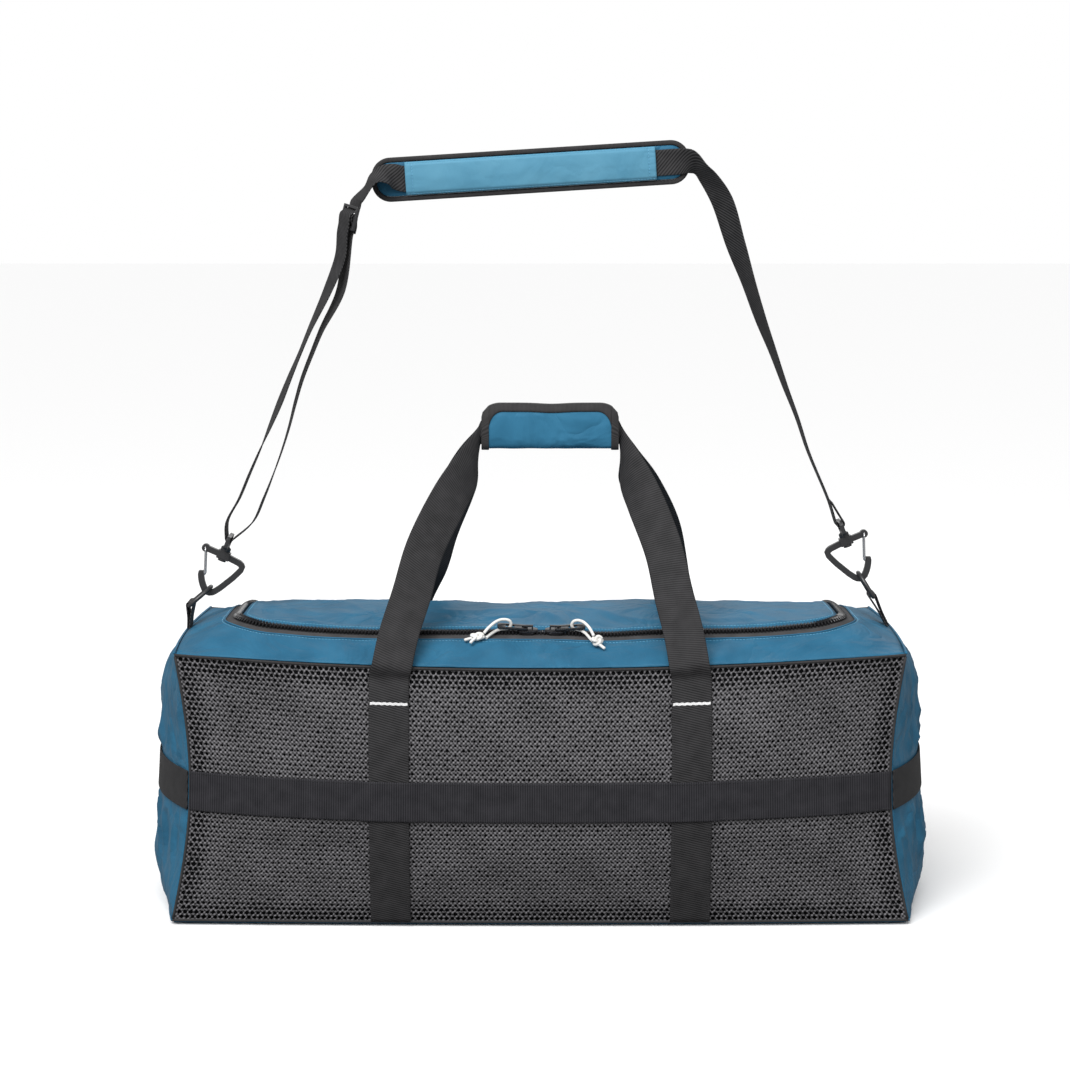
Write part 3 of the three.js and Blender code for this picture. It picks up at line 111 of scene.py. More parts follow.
# Closed wall through sections of outer and inner points, as rows of faces; its points come with flat places.
def wallMesh(sections, flats=None, loop=False, ring=False):
    count = len(sections[0][0])
    points = [p for outer, inner in sections for p in list(outer) + list(inner)]
    total = len(sections)

    def at(i, side, j):
        return (i % total) * 2 * count + side * count + (j % count)

    faces = []
    for i in range(total if loop else total - 1):
        for j in range(count if ring else count - 1):
            faces.append((at(i, 0, j), at(i, 0, j + 1), at(i + 1, 0, j + 1), at(i + 1, 0, j)))
            faces.append((at(i, 1, j), at(i + 1, 1, j), at(i + 1, 1, j + 1), at(i, 1, j + 1)))
        if not ring:
            edge = count - 1
            faces.append((at(i, 0, 0), at(i + 1, 0, 0), at(i + 1, 1, 0), at(i, 1, 0)))
            faces.append((at(i, 0, edge), at(i, 1, edge), at(i + 1, 1, edge), at(i + 1, 0, edge)))
    if not loop:
        last = total - 1
        for j in range(count if ring else count - 1):
            faces.append((at(0, 0, j), at(0, 1, j), at(0, 1, j + 1), at(0, 0, j + 1)))
            faces.append((at(last, 0, j), at(last, 0, j + 1), at(last, 1, j + 1), at(last, 1, j)))
    if flats is not None:
        flats = [place for row in flats for place in list(row) + list(row)]
    return points, outward(points, faces), flats


def outward(points, faces):
    volume = 0.0
    for face in faces:
        a = Vector(points[face[0]])
        for k in range(1, len(face) - 1):
            volume += a.dot(Vector(points[face[k]]).cross(Vector(points[face[k + 1]])))
    return [tuple(reversed(face)) for face in faces] if volume < 0 else faces


# Smooth line through given points.
def curveThrough(points, per):
    spots = [Vector(p) for p in points]
    found = []
    for i in range(len(spots) - 1):
        before = spots[max(i - 1, 0)]
        after = spots[min(i + 2, len(spots) - 1)]
        for k in range(per):
            found.append(catmull(before, spots[i], spots[i + 1], after, k / per))
    return found + [spots[-1]]


def catmull(a, b, c, d, t):
    cubic = 3 * b - 3 * c + d - a
    return 0.5 * (2 * b + (c - a) * t + (2 * a - 5 * b + 4 * c - d) * t * t + cubic * t ** 3)


# Round tube along points, with closed ends unless it is a loop.
def tubeMesh(points, radius, sides=8, loop=False):
    spots = [Vector(p) for p in points]
    count = len(spots)
    side = None
    verts = []
    for i, spot in enumerate(spots):
        before = spots[i - 1] if i or loop else spots[0]
        after = spots[(i + 1) % count] if loop or i < count - 1 else spots[-1]
        along = unit(after - before)
        if side is None:
            side = unit(along.cross(Vector((0.13, 0.31, 0.94))))
        side = unit(side - along * side.dot(along))
        across = along.cross(side)
        for k in range(sides):
            angle = 2 * math.pi * k / sides
            size = radius[i] if isinstance(radius, (list, tuple)) else radius
            verts.append(spot + side * (size * math.cos(angle)) + across * (size * math.sin(angle)))
    faces = []
    for i in range(count if loop else count - 1):
        for k in range(sides):
            a = i * sides + k
            b = i * sides + (k + 1) % sides
            c = ((i + 1) % count) * sides + (k + 1) % sides
            d = ((i + 1) % count) * sides + k
            faces.append((a, b, c, d))
    if not loop:
        faces.append(tuple(reversed(range(sides))))
        faces.append(tuple(range((count - 1) * sides, count * sides)))
    return verts, faces


def joinParts(parts):
    points = []
    faces = []
    for verts, polys in parts:
        start = len(points)
        points.extend(verts)
        faces.extend(tuple(start + k for k in poly) for poly in polys)
    return points, faces


# Short raised threads along a line: each stitch lies on the cloth, off along its normal.
def stitchParts(line, normals, length=3.2, gap=1.4, thick=0.45, off=0.3):
    parts = []
    lengths = [0.0]
    for a, b in zip(line, line[1:]):
        lengths.append(lengths[-1] + (b - a).length)
    place = gap / 2
    while place + length < lengths[-1]:
        ends = [pointAt(line, normals, lengths, place + length * share) for share in (0, 0.25, 0.75, 1)]
        lifts = (-0.3, 1, 1, -0.3)
        path = [spot + normal * (off + thick * 0.5 * lift) for (spot, normal), lift in zip(ends, lifts)]
        parts.append(tubeMesh(path, [thick * 0.7, thick, thick, thick * 0.7], 5))
        place += length + gap
    return parts


def pointAt(line, normals, lengths, where):
    i = min(max(int(np.searchsorted(lengths, where)) - 1, 0), len(line) - 2)
    share = (where - lengths[i]) / max(lengths[i + 1] - lengths[i], 1e-9)
    return line[i].lerp(line[i + 1], share), unit(normals[i].lerp(normals[i + 1], share))


# A copy of a hard solid with its edges rounded over.
def softenedCopy(node, name, finish, body="bag", width=0.4, segments=2, flatAngle=4):
    source = bpy.data.objects[node] if node in bpy.data.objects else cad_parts[node]
    work = bmesh.new()
    work.from_mesh(source.data)
    bmesh.ops.remove_doubles(work, verts=work.verts, dist=2e-6)
    bmesh.ops.dissolve_limit(work, angle_limit=math.radians(flatAngle), verts=work.verts, edges=work.edges)
    sharp = [e for e in work.edges if len(e.link_faces) == 2 and e.calc_face_angle(0) > math.radians(32)]
    bmesh.ops.bevel(work, geom=sharp, offset=width * mm, offset_type="OFFSET", segments=segments, profile=0.6,
                    affect="EDGES", clamp_overlap=True)
    bmesh.ops.triangulate(work, faces=[f for f in work.faces if len(f.verts) > 4])
    mesh = bpy.data.meshes.new(name)
    work.to_mesh(mesh)
    work.free()
    piece = dress(mesh, name, finish, (node,), body, True)
    mesh.set_sharp_from_angle(angle=math.radians(38))
    return piece


# Materials

def addNode(tree, kind, values=None):
    node = tree.nodes.new("ShaderNode" + kind)
    for label, value in (values or {}).items():
        node.inputs[label].default_value = value
    return node


def newGroup(name, inputs, outputs):
    group = bpy.data.node_groups.new(name, "ShaderNodeTree")
    for label, value in inputs.items():
        kind = "NodeSocketFloat" if isinstance(value, float) else "NodeSocketVector"
        group.interface.new_socket(name=label, in_out="INPUT", socket_type=kind).default_value = value
    for label in outputs:
        group.interface.new_socket(name=label, in_out="OUTPUT", socket_type="NodeSocketFloat")
    return group, group.nodes.new("NodeGroupInput"), group.nodes.new("NodeGroupOutput")


def mathNode(tree, how, a, b=None):
    node = addNode(tree, "Math")
    node.operation = how
    for socket, value in zip(node.inputs, (a, b)):
        if isinstance(value, (int, float)):
            socket.default_value = value
        elif value is not None:
            tree.links.new(value, socket)
    return node.outputs[0]


# One value of two, by the second one's share.
def shareOut(tree, first, second, share):
    rest = mathNode(tree, "MULTIPLY", first, mathNode(tree, "SUBTRACT", 1.0, share))
    return mathNode(tree, "ADD", rest, mathNode(tree, "MULTIPLY", second, share))


def clothGroup(name, inputs):
    group, gets, gives = newGroup(name, {"Place": (0, 0, 0), **inputs}, ("Height", "Shade"))
    split = addNode(group, "SeparateXYZ")
    group.links.new(gets.outputs["Place"], split.inputs[0])
    return group, gets, gives, split


# A wave between -1 and 1 goes out as a height, and as a shade that drifts like a cloud.
def giveCloth(group, gets, gives, wave, scale, detail):
    height = mathNode(group, "MULTIPLY", mathNode(group, "ADD", wave, 1.0), 0.5)
    group.links.new(height, gives.inputs["Height"])
    cloud = addNode(group, "TexNoise", {"Scale": scale, "Detail": detail})
    group.links.new(gets.outputs["Place"], cloud.inputs["Vector"])
    shade = shareOut(group, height, cloud.outputs["Fac"], gets.outputs["Cloudy"])
    group.links.new(shade, gives.inputs["Shade"])


# Plain weave: two crossing waves over a cloth's own flat places.
def plainWeaveGroup():
    group, gets, gives, split = clothGroup("plainWeave", {"Threads": 900.0, "Cloudy": 0.65})
    across, along = [mathNode(group, "SINE", mathNode(group, "MULTIPLY", side, gets.outputs["Threads"]))
                     for side in split.outputs[:2]]
    giveCloth(group, gets, gives, mathNode(group, "MULTIPLY", across, along), 22.0, 4.0)
    return group


# Webbing: ribs across it, slanted into a twill that folds back on itself.
def webRibsGroup():
    group, gets, gives, split = clothGroup(
        "webRibs", {"Ribs": 2400.0, "Chevron": 1400.0, "Fold": 3.0, "Cloudy": 0.55})
    slant = mathNode(group, "MULTIPLY", split.outputs[1], gets.outputs["Chevron"])
    middle = mathNode(group, "MULTIPLY", gets.outputs["Fold"], 0.5)
    zigzag = mathNode(group, "PINGPONG", mathNode(group, "ADD", slant, middle), gets.outputs["Fold"])
    run = mathNode(group, "ADD", mathNode(group, "MULTIPLY", split.outputs[0], gets.outputs["Ribs"]), zigzag)
    giveCloth(group, gets, gives, mathNode(group, "SINE", run), 60.0, 5.0)
    return group


# Soft creases, as a height, for cloth and thin plastic.
def creaseGroup():
    group, gets, gives = newGroup("softCrease", {"Place": (0, 0, 0), "Size": 14.0}, ("Height",))
    wide = addNode(group, "TexNoise", {"Detail": 3.0, "Distortion": 0.8})
    group.links.new(gets.outputs["Place"], wide.inputs["Vector"])
    group.links.new(gets.outputs["Size"], wide.inputs["Scale"])
    ridge = mathNode(group, "ABSOLUTE", mathNode(group, "SUBTRACT", wide.outputs["Fac"], 0.5))
    group.links.new(mathNode(group, "MULTIPLY", ridge, 2.0), gives.inputs["Height"])
    return group


groups = {"weave": plainWeaveGroup(), "ribs": webRibsGroup(), "crease": creaseGroup()}

# Cloths: dark and light colours, low and high roughness, and the values of their weave or ribs.
plainLook = {"crease": 0.0, "ramp": (0.2, 0.8)}
finishes = {
    "blueNylon": {
        "dark": (0.012, 0.072, 0.135), "light": (0.034, 0.158, 0.270), "rough": (0.40, 0.55),
        "threads": 5200.0, "bump": 0.10, "crease": 0.85, "sheen": 0.02, "shine": 0.10},
    # litGripNylon is the bag's blue nylon painted lighter: a painted highlight for the grip's lit face.
    "litGripNylon": {
        "dark": (0.018, 0.100, 0.180), "light": (0.046, 0.205, 0.345), "rough": (0.40, 0.55),
        "threads": 5200.0, "bump": 0.10, "crease": 0.85, "sheen": 0.02, "shine": 0.10},
    "paleBlueNylon": {
        "dark": (0.062, 0.215, 0.330), "light": (0.120, 0.315, 0.440), "rough": (0.45, 0.60),
        "threads": 5200.0, "bump": 0.10, "crease": 0.35, "sheen": 0.02, "shine": 0.12},
    "darkWebbing": {
        "dark": (0.007, 0.007, 0.0075), "light": (0.040, 0.039, 0.041), "rough": (0.55, 0.75),
        "ribs": 2300.0, "chevron": 620.0, "fold": 60.0, "cloudy": 0.5, "bump": 0.5, "sheen": 0.01,
        "shine": 0.16},
    "strapWebbing": {
        "dark": (0.006, 0.006, 0.0065), "light": (0.052, 0.051, 0.053), "rough": (0.50, 0.70),
        "ribs": 1500.0, "chevron": 1400.0, "fold": 80.0, "cloudy": 0.5, "bump": 0.6, "sheen": 0.01,
        "shine": 0.16},
    "charcoalWebbing": {
        "dark": (0.010, 0.010, 0.012), "light": (0.038, 0.037, 0.042), "rough": (0.60, 0.80),
        "ribs": 2400.0, "chevron": 0.0, "fold": 3.0, "cloudy": 0.55, "bump": 0.35, "sheen": 0.01,
        "shine": 0.10},
    # meshYarn: black yarn whose light specks are painted highlights, standing in for the glints and bright specks
    # across the knit.
    "meshYarn": {
        "dark": (0.005, 0.005, 0.006), "light": (0.205, 0.199, 0.212), "rough": (0.32, 0.60),
        "threads": 1300.0, "cloudy": 0.3, "ramp": (0.34, 0.95), "bump": 0.8, "sheen": 0.1, "shine": 0.35},
    # meshShade is near black: painted shade behind the mesh's holes, where the inside of the bag lies in shade.
    "meshShade": {
        "dark": (0.002, 0.002, 0.002), "light": (0.006, 0.006, 0.007), "rough": (0.80, 0.95),
        "threads": 3100.0, "bump": 0.2, "sheen": 0.0, "shine": 0.0},
    "bindingTape": {
        "dark": (0.018, 0.018, 0.019), "light": (0.050, 0.048, 0.049), "rough": (0.60, 0.80),
        "ribs": 4200.0, "chevron": 0.0, "fold": 3.0, "cloudy": 0.5, "bump": 0.25, "sheen": 0.04,
        "shine": 0.12},
    "zipTape": {
        "dark": (0.026, 0.026, 0.027), "light": (0.088, 0.087, 0.089), "rough": (0.65, 0.85),
        "ribs": 5200.0, "chevron": 2600.0, "fold": 3.0, "cloudy": 0.55, "bump": 0.25, "sheen": 0.02,
        "shine": 0.12},
    "whiteBraid": {
        "dark": (0.62, 0.60, 0.56), "light": (0.90, 0.89, 0.86), "rough": (0.60, 0.80), "threads": 4200.0,
        "bump": 0.5, "sheen": 0.2, "shine": 0.3},
    "paleThread": {
        "dark": (0.62, 0.62, 0.62), "light": (0.88, 0.88, 0.88), "rough": (0.50, 0.70), "threads": 9000.0,
        "bump": 0.2, "sheen": 0.1, "shine": 0.3},
    "blueThread": {
        "dark": (0.10, 0.33, 0.50), "light": (0.20, 0.50, 0.70), "rough": (0.50, 0.70), "threads": 9000.0,
        "bump": 0.2, "sheen": 0.1, "shine": 0.2},
    "darkThread": {
        "dark": (0.012, 0.012, 0.013), "light": (0.035, 0.035, 0.038), "rough": (0.50, 0.70),
        "threads": 9000.0, "bump": 0.2, "sheen": 0.1, "shine": 0.2},
}


def newMaterial(name):
    material = bpy.data.materials.new(name)
    material.use_nodes = True
    return material, material.node_tree, material.node_tree.nodes["Principled BSDF"]


def colourBy(tree, shader, source, look):
    ramp = addNode(tree, "ValToRGB")
    for element, key, place in zip(ramp.color_ramp.elements, ("dark", "light"), look.get("ramp", (0.0, 1.0))):
        element.color = (*look[key], 1)
        element.position = place
    tree.links.new(source, ramp.inputs[0])
    tree.links.new(ramp.outputs[0], shader.inputs["Base Color"])


def roughBy(tree, shader, source, low, high):
    spread = addNode(tree, "MapRange", {"To Min": low, "To Max": high})
    tree.links.new(source, spread.inputs["Value"])
    tree.links.new(spread.outputs[0], shader.inputs["Roughness"])


def raiseBy(tree, height, normal, strength, distance):
    raised = addNode(tree, "Bump", {"Strength": strength, "Distance": distance})
    tree.links.new(height, raised.inputs["Height"])
    tree.links.new(raised.outputs["Normal"], normal)
    return raised


def clothFinish(name):
    look = {**plainLook, **finishes[name]}
    material, tree, shader = newMaterial(name)
    shader.inputs["Sheen Weight"].default_value = look["sheen"]
    shader.inputs["Specular IOR Level"].default_value = look["shine"]
    place = addNode(tree, "UVMap")
    place.uv_map = "flat"
    pattern = addNode(tree, "Group")
    pattern.node_tree = groups["ribs" if "ribs" in look else "weave"]
    tree.links.new(place.outputs[0], pattern.inputs["Place"])
    for key in ("threads", "ribs", "chevron", "fold", "cloudy"):
        if key in look:
            pattern.inputs[key.capitalize()].default_value = look[key]
    colourBy(tree, shader, pattern.outputs["Shade"], look)
    roughBy(tree, shader, pattern.outputs["Shade"], *look["rough"])
    fine = raiseBy(tree, pattern.outputs["Height"], shader.inputs["Normal"], look["bump"], 0.0004)
    if look["crease"]:
        solid = addNode(tree, "TexCoord")
        crease = addNode(tree, "Group")
        crease.node_tree = groups["crease"]
        tree.links.new(solid.outputs["Object"], crease.inputs["Place"])
        raiseBy(tree, crease.outputs["Height"], fine.inputs["Normal"], look["crease"], 0.006)
    return material


def hardFinish(name, dark, light, rough, metal=0.0):
    material, tree, shader = newMaterial(name)
    shader.inputs["Metallic"].default_value = metal
    solid = addNode(tree, "TexCoord")
    speck = addNode(tree, "TexNoise", {"Scale": 900.0, "Detail": 3.0})
    tree.links.new(solid.outputs["Object"], speck.inputs["Vector"])
    colourBy(tree, shader, speck.outputs["Fac"], {"dark": dark, "light": light})
    roughBy(tree, shader, speck.outputs["Fac"], *rough)
    raiseBy(tree, speck.outputs["Fac"], shader.inputs["Normal"], 0.12, 0.0002)
    return material


cloth = {name: clothFinish(name) for name in finishes}
zipPlastic = hardFinish("zipPlastic", (0.005, 0.005, 0.006), (0.026, 0.026, 0.028), (0.05, 0.16))
hookPlastic = hardFinish("hookPlastic", (0.014, 0.014, 0.015), (0.040, 0.040, 0.042), (0.22, 0.38))
brightWire = hardFinish("brightWire", (0.62, 0.63, 0.65), (0.80, 0.80, 0.82), (0.16, 0.30), metal=1.0)
print("materials made")


# Camera, floor and lights

view = {"place": (-0.0059, -2.9743, 0.8161), "elevation": 7.5, "lens": 85.7, "sensor": 36.0}
lamps = [
    {"name": "keyLamp", "place": (-1.5, -2.4, 2.8), "power": 48, "size": 1.6},
    {"name": "fillLamp", "place": (2.0, -2.6, 1.9), "power": 20, "size": 1.6},
    {"name": "backLamp", "place": (0.4, 2.8, 2.0), "power": 14, "size": 2.0},
]
skyLight = {"seen": 1.0, "given": 0.36, "sun": 2.7, "soft": 55.0, "from": (-0.25, -0.80, 1.0)}


def makeCamera():
    lens = bpy.data.cameras.new("photoCamera")
    lens.lens = view["lens"]
    lens.sensor_width = view["sensor"]
    camera = bpy.data.objects.new("photoCamera", lens)
    camera.location = view["place"]
    camera.rotation_euler = (math.radians(90 - view["elevation"]), 0, 0)
    bpy.context.scene.collection.objects.link(camera)
    bpy.context.scene.camera = camera


def makeStage():
    mesh = bpy.data.meshes.new("studioFloor")
    mesh.from_pydata([(-30, -30, 0), (30, -30, 0), (30, 30, 0), (-30, 30, 0)], [], [(0, 1, 2, 3)])
    floor = bpy.data.objects.new("studioFloor", mesh)
    paper, tree, shader = newMaterial("studioPaper")
    shader.inputs["Roughness"].default_value = 0.9
    shader.inputs["Specular IOR Level"].default_value = 0.2
    seenBy = addNode(tree, "LightPath")
    shade = addNode(tree, "Mix")
    shade.data_type = "RGBA"
    shade.inputs["A"].default_value = (0.30, 0.30, 0.30, 1)
    shade.inputs["B"].default_value = (0.97, 0.97, 0.97, 1)
    tree.links.new(seenBy.outputs["Is Camera Ray"], shade.inputs["Factor"])
    tree.links.new(shade.outputs["Result"], shader.inputs["Base Color"])
    mesh.materials.append(paper)
    bpy.context.scene.collection.objects.link(floor)
    for lamp in lamps:
        light = bpy.data.lights.new(lamp["name"], "AREA")
        light.energy = lamp["power"]
        light.size = lamp["size"]
        holder = bpy.data.objects.new(lamp["name"], light)
        holder.location = lamp["place"]
        aim = Vector((0, 0, 0.3)) - Vector(lamp["place"])
        holder.rotation_euler = aim.to_track_quat("-Z", "Y").to_euler()
        bpy.context.scene.collection.objects.link(holder)
    sun = bpy.data.lights.new("softSun", "SUN")
    sun.energy = skyLight["sun"]
    sun.angle = math.radians(skyLight["soft"])
    holder = bpy.data.objects.new("softSun", sun)
    holder.rotation_euler = (-Vector(skyLight["from"])).to_track_quat("-Z", "Y").to_euler()
    bpy.context.scene.collection.objects.link(holder)
    world = bpy.data.worlds.new("studioAir")
    world.use_nodes = True
    tree = world.node_tree
    given = tree.nodes["Background"]
    given.inputs["Color"].default_value = (1, 1, 1, 1)
    given.inputs["Strength"].default_value = skyLight["given"]
    seen = addNode(tree, "Background", {"Color": (1, 1, 1, 1), "Strength": skyLight["seen"]})
    path = addNode(tree, "LightPath")
    either = addNode(tree, "MixShader")
    tree.links.new(path.outputs["Is Camera Ray"], either.inputs[0])
    tree.links.new(given.outputs[0], either.inputs[1])
    tree.links.new(seen.outputs[0], either.inputs[2])
    tree.links.new(either.outputs[0], tree.nodes["World Output"].inputs["Surface"])
    bpy.context.scene.world = world
    bpy.context.scene.view_settings.view_transform = "Standard"


makeCamera()
makeStage()
print("camera and stage made")


# White cords through the zip pulls, from knot to pull and back. Their routes are in metres.

pullCords = {
    "left": {
        "exit": (-0.0489, -0.1080, 0.3346),
        "knot": {"middle": (-71, -123.5, 324.8), "half": (9, 5.2, 5.2)},
        "tails": [[(-76, -124, 323), (-82, -126, 322), (-86, -127.5, 321)],
                  [(-73, -127, 324), (-77, -131, 321), (-79, -134, 319)]],
        "route": [
            (-0.0637, -0.1228, 0.3285), (-0.0598, -0.1206, 0.3330), (-0.0554, -0.1180, 0.3368),
            (-0.0506, -0.1150, 0.3400), (-0.0449, -0.1122, 0.3420), (-0.0387, -0.1107, 0.3419),
            (-0.0346, -0.1098, 0.3400), (-0.0333, -0.1085, 0.3358), (-0.0352, -0.1072, 0.3321),
            (-0.0394, -0.1069, 0.3306), (-0.0448, -0.1080, 0.3303), (-0.0498, -0.1106, 0.3292),
            (-0.0547, -0.1146, 0.3270), (-0.0587, -0.1182, 0.3245), (-0.0616, -0.1216, 0.3226),
        ],
    },
    "right": {
        "exit": (0.0517, -0.1077, 0.3333),
        "knot": {"middle": (64.5, -132, 321.5), "half": (7.4, 6.8, 6.8)},
        "tails": [[(66, -135, 318), (70, -138, 315.5), (73, -140, 313.5)]],
        "route": [
            (0.0606, -0.1270, 0.3260), (0.0580, -0.1242, 0.3310), (0.0546, -0.1202, 0.3356),
            (0.0499, -0.1154, 0.3393), (0.0451, -0.1119, 0.3409), (0.0412, -0.1104, 0.3409),
            (0.0375, -0.1096, 0.3391), (0.0360, -0.1083, 0.3350), (0.0379, -0.1070, 0.3312),
            (0.0420, -0.1068, 0.3295), (0.0468, -0.1085, 0.3288), (0.0509, -0.1123, 0.3269),
            (0.0543, -0.1172, 0.3242), (0.0574, -0.1220, 0.3212), (0.0602, -0.1262, 0.3194),
        ],
    },
}
cordThickness = 0.0035


def makeKnot(side, facts):
    middle = Vector(facts["knot"]["middle"])
    half = facts["knot"]["half"]
    ring = []
    for k in range(72):
        t = 2 * math.pi * k / 72
        wide = 2 + math.cos(3 * t)
        local = Vector((wide * math.cos(2 * t), wide * math.sin(2 * t), 1.6 * math.sin(3 * t)))
        local = Matrix.Rotation(0.9, 3, "X") @ Matrix.Rotation(0.5, 3, "Z") @ local
        ring.append(middle + Vector([local[i] / 3 * (half[i] - 1.7) for i in range(3)]))
    parts = [tubeMesh(ring, 1.9, 8, loop=True)]
    for tail in facts["tails"]:
        line = curveThrough(tail, 4)
        parts.append(tubeMesh(line, [1.75] * (len(line) - 1) + [1.35], 8))
    points, faces = joinParts(parts)
    flats = [(p.x + p.z, p.y - p.z) for p in points]
    return makePiece(f"cordKnot_{side}", points, faces, cloth["whiteBraid"],
                     (f"zip_knot_{side}",), uvs=flats)


def makePullCord(side, facts):
    line = curveThrough(facts["route"], 6)
    curve = bpy.data.curves.new(f"pullCord_{side}", "CURVE")
    curve.dimensions = "3D"
    curve.bevel_depth = cordThickness / 2
    curve.bevel_resolution = 3
    curve.use_fill_caps = True
    spline = curve.splines.new("POLY")
    spline.points.add(len(line) - 1)
    for point, spot in zip(spline.points, line):
        point.co = (*spot, 1)
    curve.materials.append(braidOnCurve)
    cord = bpy.data.objects.new(f"pullCord_{side}", curve)
    bpy.context.scene.collection.objects.link(cord)
    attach(cord, "bag")
    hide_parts(f"zip_cord_{side}")
    knot = makeKnot(side, facts)
    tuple(facts["exit"])


# The braid of a curve has no flat places, so its strands come from a wave over its own place.
def braidFinish():
    look = finishes["whiteBraid"]
    material, tree, shader = newMaterial("whiteBraidCord")
    shader.inputs["Roughness"].default_value = 0.7
    shader.inputs["Sheen Weight"].default_value = look["sheen"]
    solid = addNode(tree, "TexCoord")
    strand = addNode(tree, "TexWave", {"Scale": 260.0, "Distortion": 2.0})
    tree.links.new(solid.outputs["Object"], strand.inputs["Vector"])
    colourBy(tree, shader, strand.outputs["Fac"], look)
    raiseBy(tree, strand.outputs["Fac"], shader.inputs["Normal"], 0.4, 0.0003)
    return material


braidOnCurve = braidFinish()
for cordSide, cordFacts in pullCords.items():
    makePullCord(cordSide, cordFacts)
print("cords made")


# The bag's body, as surfaces in millimetres. s runs along, v up from the base seam, w across an end.

body = {
    "baseHalfLength": 418, "topHalfLength": 410, "cornerHalfDepth": 165, "seamBow": 7, "waist": 19,
    "baseLift": 4, "topSeamHeight": 296, "cornerRise": 16, "crestHeight": 343, "sideBulge": 22, "endBulge": 40,
    "baseEndBow": 18, "topEndBow": 7, "cloth": 1.6, "mesh": 2.0, "seamGap": 0.5, "baseEdge": 14,
    "bandShare": 0.494,
}
sideFolds = [  # s, v, spread along, spread up, depth
    (-0.80, 0.78, 0.10, 0.18, 4), (0.82, 0.74, 0.09, 0.20, 4), (-0.62, 0.30, 0.16, 0.14, 3),
    (0.10, 0.80, 0.22, 0.12, 3), (0.66, 0.24, 0.16, 0.14, 3), (0.00, 0.26, 0.25, 0.12, -3),
]
endFolds = [
    (-0.55, 0.72, 0.12, 0.22, 6), (0.50, 0.76, 0.12, 0.20, 5), (0.05, 0.30, 0.14, 0.20, 5),
    (-0.60, 0.22, 0.12, 0.16, 4),
]
lidFolds = [
    (-0.81, -0.56, 0.14, 0.30, -8), (0.81, -0.56, 0.14, 0.30, -8), (-0.42, -0.30, 0.14, 0.35, 3),
    (0.18, -0.50, 0.10, 0.40, 3), (0.60, 0.10, 0.16, 0.30, 3), (-0.05, 0.35, 0.22, 0.25, 4),
]


def dent(folds, s, v):
    return sum(deep * np.exp(-((s - at) / wide) ** 2 - ((v - up) / tall) ** 2)
               for at, up, wide, tall, deep in folds)


def halfLengthAt(v):
    return mix(body["baseHalfLength"], body["topHalfLength"], v) - body["waist"] * np.sin(np.pi * v)


def topSeamZ(s):
    return body["topSeamHeight"] + body["cornerRise"] * s * s


def seamHalfDepth(s):
    return body["cornerHalfDepth"] + body["seamBow"] * (1 - s * s)


def nearSeams(v, across, edge):
    return (rise(0, 0.12, v) * rise(0, 0.12, 1 - v) * rise(0, edge, 1 - np.abs(across))
            * rise(0.08, 0.2, np.abs(v - body["bandShare"])))


def sidePoint(side, s, v):
    swell = (1 - s ** 4) * (1 - (2 * v - 1) ** 2)
    out = seamHalfDepth(s) + body["sideBulge"] * swell - nearSeams(v, s, 0.08) * dent(sideFolds, s, v)
    return vec(s * halfLengthAt(v), side * out, mix(body["baseLift"], topSeamZ(s), v))


def endPoint(end, w, v):
    bow = mix(body["baseEndBow"], body["topEndBow"], v) * (1 - w * w)
    swell = (1 - w * w) * (1 - (2 * v - 1) ** 4)
    out = halfLengthAt(v) + bow + body["endBulge"] * swell - nearSeams(v, w, 0.15) * dent(endFolds, w, v)
    return vec(end * out, w * body["cornerHalfDepth"], mix(body["baseLift"], topSeamZ(1), v))


def topHeight(x, y):
    w = y / seamHalfDepth(x / body["topHalfLength"])
    s = x / (body["topHalfLength"] + body["topEndBow"] * (1 - w * w))
    lift = (body["crestHeight"] - topSeamZ(s)) * (1 - s ** 10) * (1 - w * w)
    inside = rise(0, 0.2, 1 - abs(w)) * rise(0, 0.1, 1 - abs(s))
    return float(topSeamZ(s) + lift - inside * dent(lidFolds, s, w))


def onTop(x, y, lift=0.0):
    normal = topNormal(x, y)
    return vec(x, y, topHeight(x, y)) + normal * lift


def topNormal(x, y):
    dx = topHeight(x + 0.5, y) - topHeight(x - 0.5, y)
    dy = topHeight(x, y + 0.5) - topHeight(x, y - 0.5)
    return vec(-dx, -dy, 1).normalized()


# Small creases in stretched cloth, in millimetres: long soft ridges that follow a direction.
def creaseAt(p, lean, size, deep, shift=0.0):
    along = Vector(((p[0] * lean[0] + shift) / size, p[1] * lean[1] / size, p[2] * lean[2] / size))
    ridge = 1 - abs(noise.noise(along)) * 2.2
    small = noise.noise(along * 2.7) * 0.35
    return deep * (max(ridge, 0) ** 3 - 0.25 + small)


# A cloth sheet with its thickness, from a surface and its creases.
def clothSheet(surface, us, vs, thickness, inwards, crease=None):
    step = 0.003
    sections = []
    flats = []
    for u in us:
        outer = []
        inner = []
        row = []
        for v in vs:
            p = surface(u, v)
            along = surface(u + step, v) - surface(u - step, v)
            up = surface(u, v + step) - surface(u, v - step)
            normal = towards(unit(along.cross(up)), inwards)
            if crease:
                p = p - normal * crease(u, v, p)
            outer.append(p)
            inner.append(p + normal * thickness)
            row.append((p.x + p.y, p.z + 0.35 * (p.y if abs(inwards.z) > 0.5 else 0)))
        sections.append((outer, inner))
        flats.append(row)
    return wallMesh(sections, flats)


# Knitted mesh: rows of six-sided holes, each yarn rounded over, closed to a plain hem along the edges.

meshLook = {"long": 408, "tall": 300, "pitch": 6.3, "rows": 5.5, "hole": 0.66, "knit": 0.38, "yarn": 0.55,
            "deep": 1.3, "flare": 1.08, "hem": 5.0}


